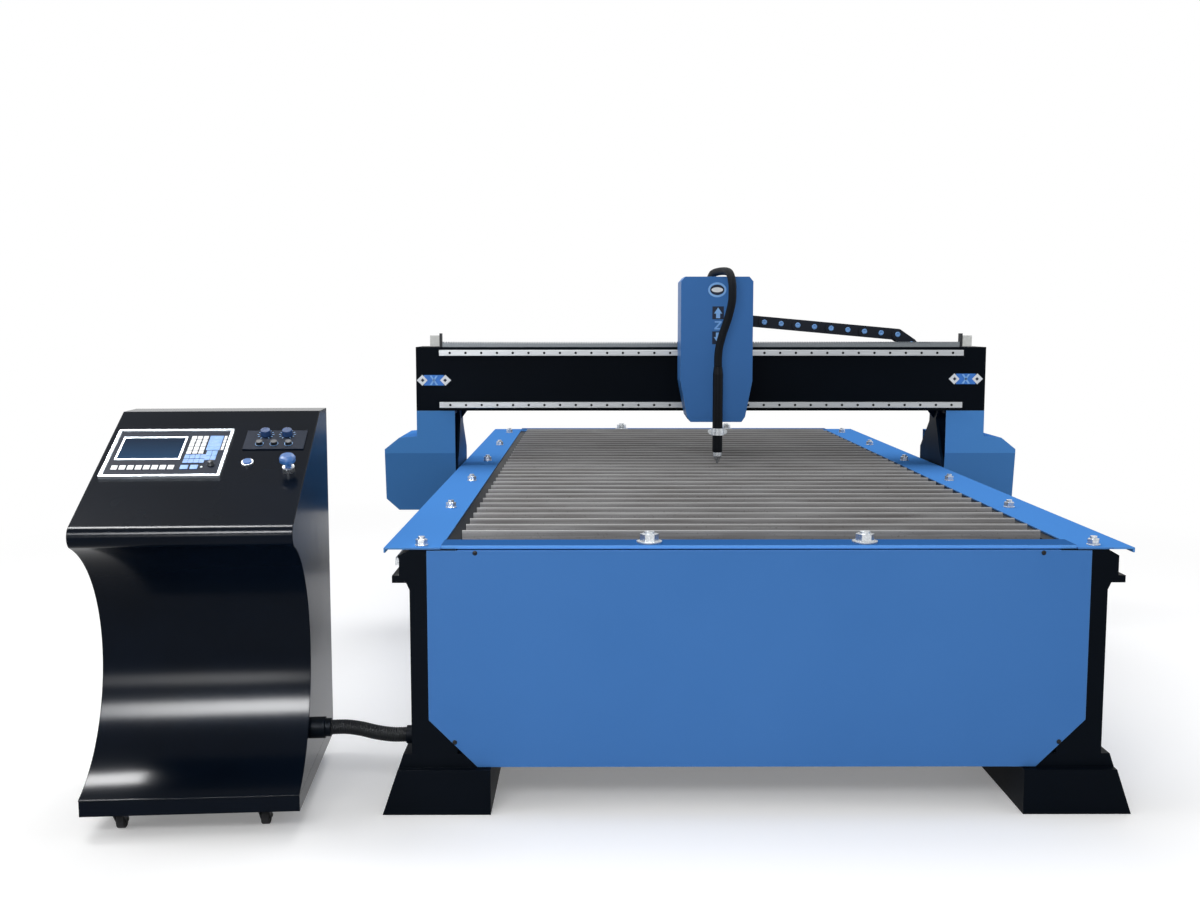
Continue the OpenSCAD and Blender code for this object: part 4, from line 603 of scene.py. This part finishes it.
# Control unit: an aluminium bezel round a printed membrane with a screen, raised keys, a small knob and a
# lamp. It lies on the left half of the sloped desk.
slant = math.radians(27.3)
desk_up = math.cos(slant) * console_depth + math.sin(slant) * Vector((0, 0, 1))
desk_out = -math.sin(slant) * console_depth + math.cos(slant) * Vector((0, 0, 1))
desk_foot = on_console(0, 14.41, 754.3)


def on_desk(across, up, out=0):
    """A place on the desk, in millimetres across it, up its slope and out of it."""
    return desk_foot + (across * console_across + up * desk_up + out * desk_out) / 1000


def pads(name, boxes, rise, edge_mm):
    """Raised pads on the desk from lists of across, up, width, height and base height, with rounded edges."""
    mesh = bmesh.new()
    for across, up, wide, high, base in boxes:
        made = bmesh.ops.create_cube(mesh, size=1)["verts"]
        place = Matrix.Translation(on_desk(across, up, base + rise / 2))
        turned_to = Matrix((console_across, desk_up, desk_out)).transposed().to_4x4()
        bmesh.ops.transform(mesh, matrix=place @ turned_to @ Matrix.Diagonal((wide / 1000, high / 1000,
                                                                              rise / 1000, 1)),
                            verts=made)
    bmesh.ops.bevel(mesh, geom=mesh.edges[:], offset=edge_mm / 1000, segments=2, affect="EDGES",
                    profile=0.6)
    data = bpy.data.meshes.new(name)
    mesh.to_mesh(data)
    mesh.free()
    piece = bpy.data.objects.new(name, data)
    bpy.context.scene.collection.objects.link(piece)
    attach(piece, "table")
    return piece


# Brushed aluminium bezel: pale, with brush lines across it, drawn 3 mm apart.
brushed, tree, shader = finish_of("brushed_aluminium_bezel", Metallic=0.9)
place = add(tree, "ShaderNodeTexCoord").outputs["Object"]
along = add(tree, "ShaderNodeMapping", {"Vector": place, "Scale": (0.05, 1.0, 1.0)})
brush = add(tree, "ShaderNodeTexNoise", {"Vector": along.outputs[0], "Scale": 1000 / 3, "Detail": 2.0})
tone = tone_between(tree, brush.outputs[0], linear("#AEB6BE"), linear("#DDE3E8"))
gloss = add(tree, "ShaderNodeMapRange", {0: brush.outputs[0], 3: 0.28, 4: 0.42})
tree.links.new(tone.outputs[2], shader.inputs["Base Color"])
tree.links.new(gloss.outputs[0], shader.inputs["Roughness"])
dress(brushed, "control_unit")
# Printed polyester membrane: dark navy, matt, finely pebbled at 2 mm.
membrane, tree, shader = finish_of("printed_polyester_membrane", Roughness=0.5, Specular_IOR_Level=0.05)
place = add(tree, "ShaderNodeTexCoord").outputs["Object"]
pebble = add(tree, "ShaderNodeTexNoise", {"Vector": place, "Scale": 1000 / 2, "Detail": 2.0})
tone = tone_between(tree, pebble.outputs[0], linear("#0A121E"), linear("#111C2E"))
tree.links.new(tone.outputs[2], shader.inputs["Base Color"])
face = pads("control_membrane", [(163, 304, 276, 200, 5)], 0.8, 0.3)
face.data.materials.append(membrane)
# Screen glass: switched off, deep blue, with a painted sheen that makes it lighter towards the bottom.
glass, tree, shader = finish_of("dark_screen_glass", Roughness=0.12, Specular_IOR_Level=0.06)
place = add(tree, "ShaderNodeTexCoord").outputs["Generated"]
height = add(tree, "ShaderNodeSeparateXYZ", {0: place})
tone = tone_between(tree, height.outputs[2], linear("#20405F"), linear("#12243A"))
tree.links.new(tone.outputs[2], shader.inputs["Base Color"])
screen = pads("control_screen", [(117.5, 324, 151, 96, 5.8)], 0.8, 0.3)
screen.data.materials.append(glass)
screen_frame = pads("screen_surround",
                    [(117.5, 374.5, 161, 5, 5.8), (117.5, 273.5, 161, 5, 5.8), (39.5, 324, 5, 96, 5.8),
                                        (195.5, 324, 5, 96, 5.8)], 1.6, 0.5)
screen_frame.data.materials.append(brushed)
# Moulded key caps in white and in blue, slightly glossy and a little dulled by use.
white_key, tree, shader = finish_of("white_key_caps", Roughness=0.4)
place = add(tree, "ShaderNodeTexCoord").outputs["Object"]
dull = add(tree, "ShaderNodeTexNoise", {"Vector": place, "Scale": 1000 / 10, "Detail": 3.0})
tone = tone_between(tree, dull.outputs[0], linear("#F2F4F6"), linear("#D5D9DE"))
tree.links.new(tone.outputs[2], shader.inputs["Base Color"])
blue_key, tree, shader = finish_of("blue_key_caps", Roughness=0.4)
place = add(tree, "ShaderNodeTexCoord").outputs["Object"]
dull = add(tree, "ShaderNodeTexNoise", {"Vector": place, "Scale": 1000 / 10, "Detail": 3.0})
tone = tone_between(tree, dull.outputs[0], linear("#4280CF"), linear("#5897E2"))
tree.links.new(tone.outputs[2], shader.inputs["Base Color"])
white_keys = [(46 + 19.6 * k, 236.5, 15, 18, 5.8) for k in range(8)]
white_keys += [(x, 304 + 17 * k, 12, 14, 5.8) for x in (214, 229, 244) for k in range(5)]
white_keys += [(294, 321 + 17 * k, 7, 14, 5.8) for k in range(4)]
keys = pads("white_keys", white_keys, 1.6, 0.6)
keys.data.materials.append(white_key)
blue_keys = [(271, 321 + 17 * k, 34, 15.5, 5.8) for k in range(4)]
blue_keys += [(213.5 + 13.2 * k, up, 12.4, 17.5, 5.8) for k in range(4) for up in (264, 284)]
blue_keys += [(265 + 14 * k, up, 13, 20, 5.8) for k in range(2) for up in (278, 300)]
blue_keys += [(215.5, 236.5, 19, 18, 5.8), (239.5, 236.5, 19, 18, 5.8)]
keys = pads("blue_keys", blue_keys, 1.6, 0.6)
keys.data.materials.append(blue_key)
knob = turned("control_knob", ((9, 0), (9, 2), (7.5, 2.6), (7, 10), (6, 11.5), (2, 11.7)),
              [on_desk(279, 247, 5.8)], desk_out)
knob.data.materials.append(anodised)
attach(knob, "table")
lamp = turned("control_lamp", ((3, 0), (3, 1), (2.2, 2), (0.8, 2.4)), [on_desk(258, 237, 5.8)], desk_out)
lamp.data.materials.append(white_key)
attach(lamp, "table")

# Height control and buttons: a black plate with two scaled dials and three push buttons, a ringed push
# button, and a mushroom stop button on its collar.
# Moulded acrylic: bright blue, glossy, darker where it is thick.
acrylic, tree, shader = finish_of("blue_moulded_acrylic", Roughness=0.25)
place = add(tree, "ShaderNodeTexCoord").outputs["Object"]
depth = add(tree, "ShaderNodeTexNoise", {"Vector": place, "Scale": 1000 / 15, "Detail": 2.0})
tone = tone_between(tree, depth.outputs[0], linear("#2C5C9C"), linear("#3C70B2"))
tree.links.new(tone.outputs[2], shader.inputs["Base Color"])
dress(acrylic, "push_button", "stop_button")
# Dial plastic: dark blue, half matt, polished by fingers in patches.
dial_blue, tree, shader = finish_of("dark_blue_dial_plastic", Roughness=0.5, Specular_IOR_Level=0.2)
place = add(tree, "ShaderNodeTexCoord").outputs["Object"]
worn = add(tree, "ShaderNodeTexNoise", {"Vector": place, "Scale": 1000 / 12, "Detail": 3.0})
tone = tone_between(tree, worn.outputs[0], linear("#182F52"), linear("#26477A"))
tree.links.new(tone.outputs[2], shader.inputs["Base Color"])
dress(dial_blue, "dial_left", "dial_right")
dress(membrane, "height_plate")
dress(anodised, "height_button_left", "height_button_middle", "height_button_right")
dials_up, buttons_up = 391, 347
ticks = []
for across in (392, 447):
    for k in range(11):
        a = math.radians(240 - 30 * k)
        near, far, half = 16.5, 21.5, 0.8
        c, s = math.cos(a), math.sin(a)
        ticks.append([(across + r * c - w * s, dials_up + r * s + w * c)
                      for r, w in ((near, -half), (far, -half), (far, half), (near, half))])
for across in (382, 419, 456):
    for k in range(24):
        a, b = 2 * math.pi * k / 24, 2 * math.pi * (k + 1) / 24
        ticks.append([(across + r * math.cos(t), buttons_up + r * math.sin(t))
                      for r, t in ((9.8, a), (10.8, a), (10.8, b), (9.8, b))])
scale_print = film("dial_scales", ticks, on_desk(0, 0, 3), console_across, desk_up, desk_out)
scale_print.data.materials.append(films["pale_blue"])
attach(scale_print, "table")

# Casters: pressed steel forks under round race plates, with solid rubber tyres. The front pair swivels
# and the rear pair is fixed.
dress(oxide, "fork_left", "fork_right", "rear_forks")
swivel_race = ((7, -6.2), (26, -6.2), (33, -2.5), (33, -0.3), (7, -0.3))
races = turned("caster_races", swivel_race, [on_console(x, y, 60) for x in (75, 421) for y in (62, 515)],
               (0, 0, 1), sides=32)
races.data.materials.append(oxide)
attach(races, "table")
# Moulded rubber: black, dull, scuffed grey on the tread.
rubber, tree, shader = finish_of("moulded_rubber_tyre", Specular_IOR_Level=0.25)
place = add(tree, "ShaderNodeTexCoord").outputs["Object"]
scuff = add(tree, "ShaderNodeTexNoise", {"Vector": place, "Scale": 1000 / 9, "Detail": 5.0})
tone = tone_between(tree, scuff.outputs[0], linear("#101113"), linear("#2A2B2E"))
gloss = add(tree, "ShaderNodeMapRange", {0: scuff.outputs[0], 3: 0.6, 4: 0.85})
tree.links.new(tone.outputs[2], shader.inputs["Base Color"])
tree.links.new(gloss.outputs[0], shader.inputs["Roughness"])
dress(rubber, "wheel_front_left", "wheel_front_right", "wheel_rear_left", "wheel_rear_right")

# Studio: a white paper floor that runs out into a white surround, one wide soft light ahead and above, one
# over the console, and weak ones low ahead, above and at the sides. The strips are narrow beams on the
# console that show in reflections only.
floor_data = bpy.data.meshes.new("floor")
floor_data.from_pydata([(-60, -60, -0.0004), (60, -60, -0.0004), (60, 60, -0.0004), (-60, 60, -0.0004)], [],
                       [(0, 1, 2, 3)])
floor = bpy.data.objects.new("floor", floor_data)
bpy.context.scene.collection.objects.link(floor)
paper, tree, shader = finish_of("white_backdrop_paper", Roughness=0.9, Specular_IOR_Level=0.0,
                                Base_Color=linear("#F5F5F5"))
ray = add(tree, "ShaderNodeLightPath")
seen = add(tree, "ShaderNodeMath", {0: ray.outputs["Is Camera Ray"], 1: ray.outputs["Is Glossy Ray"]},
           operation="MAXIMUM")
seen = add(tree, "ShaderNodeMath", {0: seen.outputs[0], 1: ray.outputs["Is Transmission Ray"]},
           operation="MAXIMUM")
away = add(tree, "ShaderNodeVectorMath", {0: add(tree, "ShaderNodeNewGeometry").outputs["Position"]},
           operation="LENGTH")
far = add(tree, "ShaderNodeMapRange", {0: away.outputs["Value"], 1: 2.2, 2: 4.5},
          interpolation_type="SMOOTHSTEP")
fade = add(tree, "ShaderNodeMath", {0: seen.outputs[0], 1: far.outputs[0]}, operation="MULTIPLY")
glow = add(tree, "ShaderNodeEmission", {"Color": (1, 1, 1, 1), "Strength": 1.0})
lift = add(tree, "ShaderNodeMath", {0: seen.outputs[0], 1: 0.2}, operation="MULTIPLY")
lift = add(tree, "ShaderNodeEmission", {"Color": (1, 1, 1, 1), "Strength": lift.outputs[0]})
lit = add(tree, "ShaderNodeAddShader", {0: shader.outputs[0], 1: lift.outputs[0]})
both = add(tree, "ShaderNodeMixShader", {0: fade.outputs[0], 1: lit.outputs[0], 2: glow.outputs[0]})
tree.links.new(both.outputs[0], tree.nodes["Material Output"].inputs["Surface"])
floor_data.materials.append(paper)
world = bpy.data.worlds.new("studio_surround")
bpy.context.scene.world = world
world.use_nodes = True
tree = world.node_tree
surround = tree.nodes["Background"]
ray = add(tree, "ShaderNodeLightPath")
seen = add(tree, "ShaderNodeMath", {0: ray.outputs["Is Camera Ray"], 1: ray.outputs["Is Glossy Ray"]},
           operation="MAXIMUM")
seen = add(tree, "ShaderNodeMath", {0: seen.outputs[0], 1: ray.outputs["Is Transmission Ray"]},
           operation="MAXIMUM")
strength = add(tree, "ShaderNodeMapRange", {0: seen.outputs[0], 3: 0.55, 4: 1.0})
surround.inputs["Color"].default_value = (1, 1, 1, 1)
tree.links.new(strength.outputs[0], surround.inputs["Strength"])
foot_beam, front_beam = 44, 28
for name, spot, aim, wide, deep, watts in (
        ("key_light", (-1.1, -5.5, 3.0), (-0.6, -1.6, 0.3), 2.6, 0.9, 64),
        ("low_light", (-1.5, -6.5, 1.2), (-0.9, -1.6, 0.6), 2.2, 0.35, 5),
        ("console_light", (-2.77, -1.15, 5.5), (-1.3, -1.75, 0.1), 0.9, 2.8, 60),
        ("front_strip", (-1.9, -5.4, 2.95), (-1.45, -1.6, 0.25), 1.6, 0.9, 21),
        ("low_strip", (-2.1, -6.4, 1.25), (-1.7, -1.6, 0.3), 1.5, 0.7, 2.6),
        ("foot_strip", (-2.73, -1.17, 5.35), (-1.3, -1.75, 0.1), 0.9, 2.8, 62),
        ("top_light", (0.3, 1.2, 5.5), (0.3, -0.4, 0.6), 3.0, 3.0, 90),
        ("left_light", (-6.0, -3.0, 3.0), (0, 0, 0.6), 3.0, 3.0, 40),
        ("right_light", (6.0, -2.0, 3.0), (0, 0, 0.6), 3.0, 3.0, 40)):
    lamp_data = bpy.data.lights.new(name, "AREA")
    lamp_data.shape = "RECTANGLE"
    lamp_data.size = wide
    lamp_data.size_y = deep
    lamp_data.energy = watts
    lamp = bpy.data.objects.new(name, lamp_data)
    lamp.location = spot
    if name.endswith("_strip"):
        lamp_data.spread = math.radians(foot_beam if name == "foot_strip" else front_beam)
        lamp.visible_diffuse = False
    lamp.rotation_euler = (Vector(aim) - Vector(spot)).to_track_quat("-Z", "Y").to_euler()
    bpy.context.scene.collection.objects.link(lamp)
bpy.context.scene.view_settings.view_transform = "Standard"
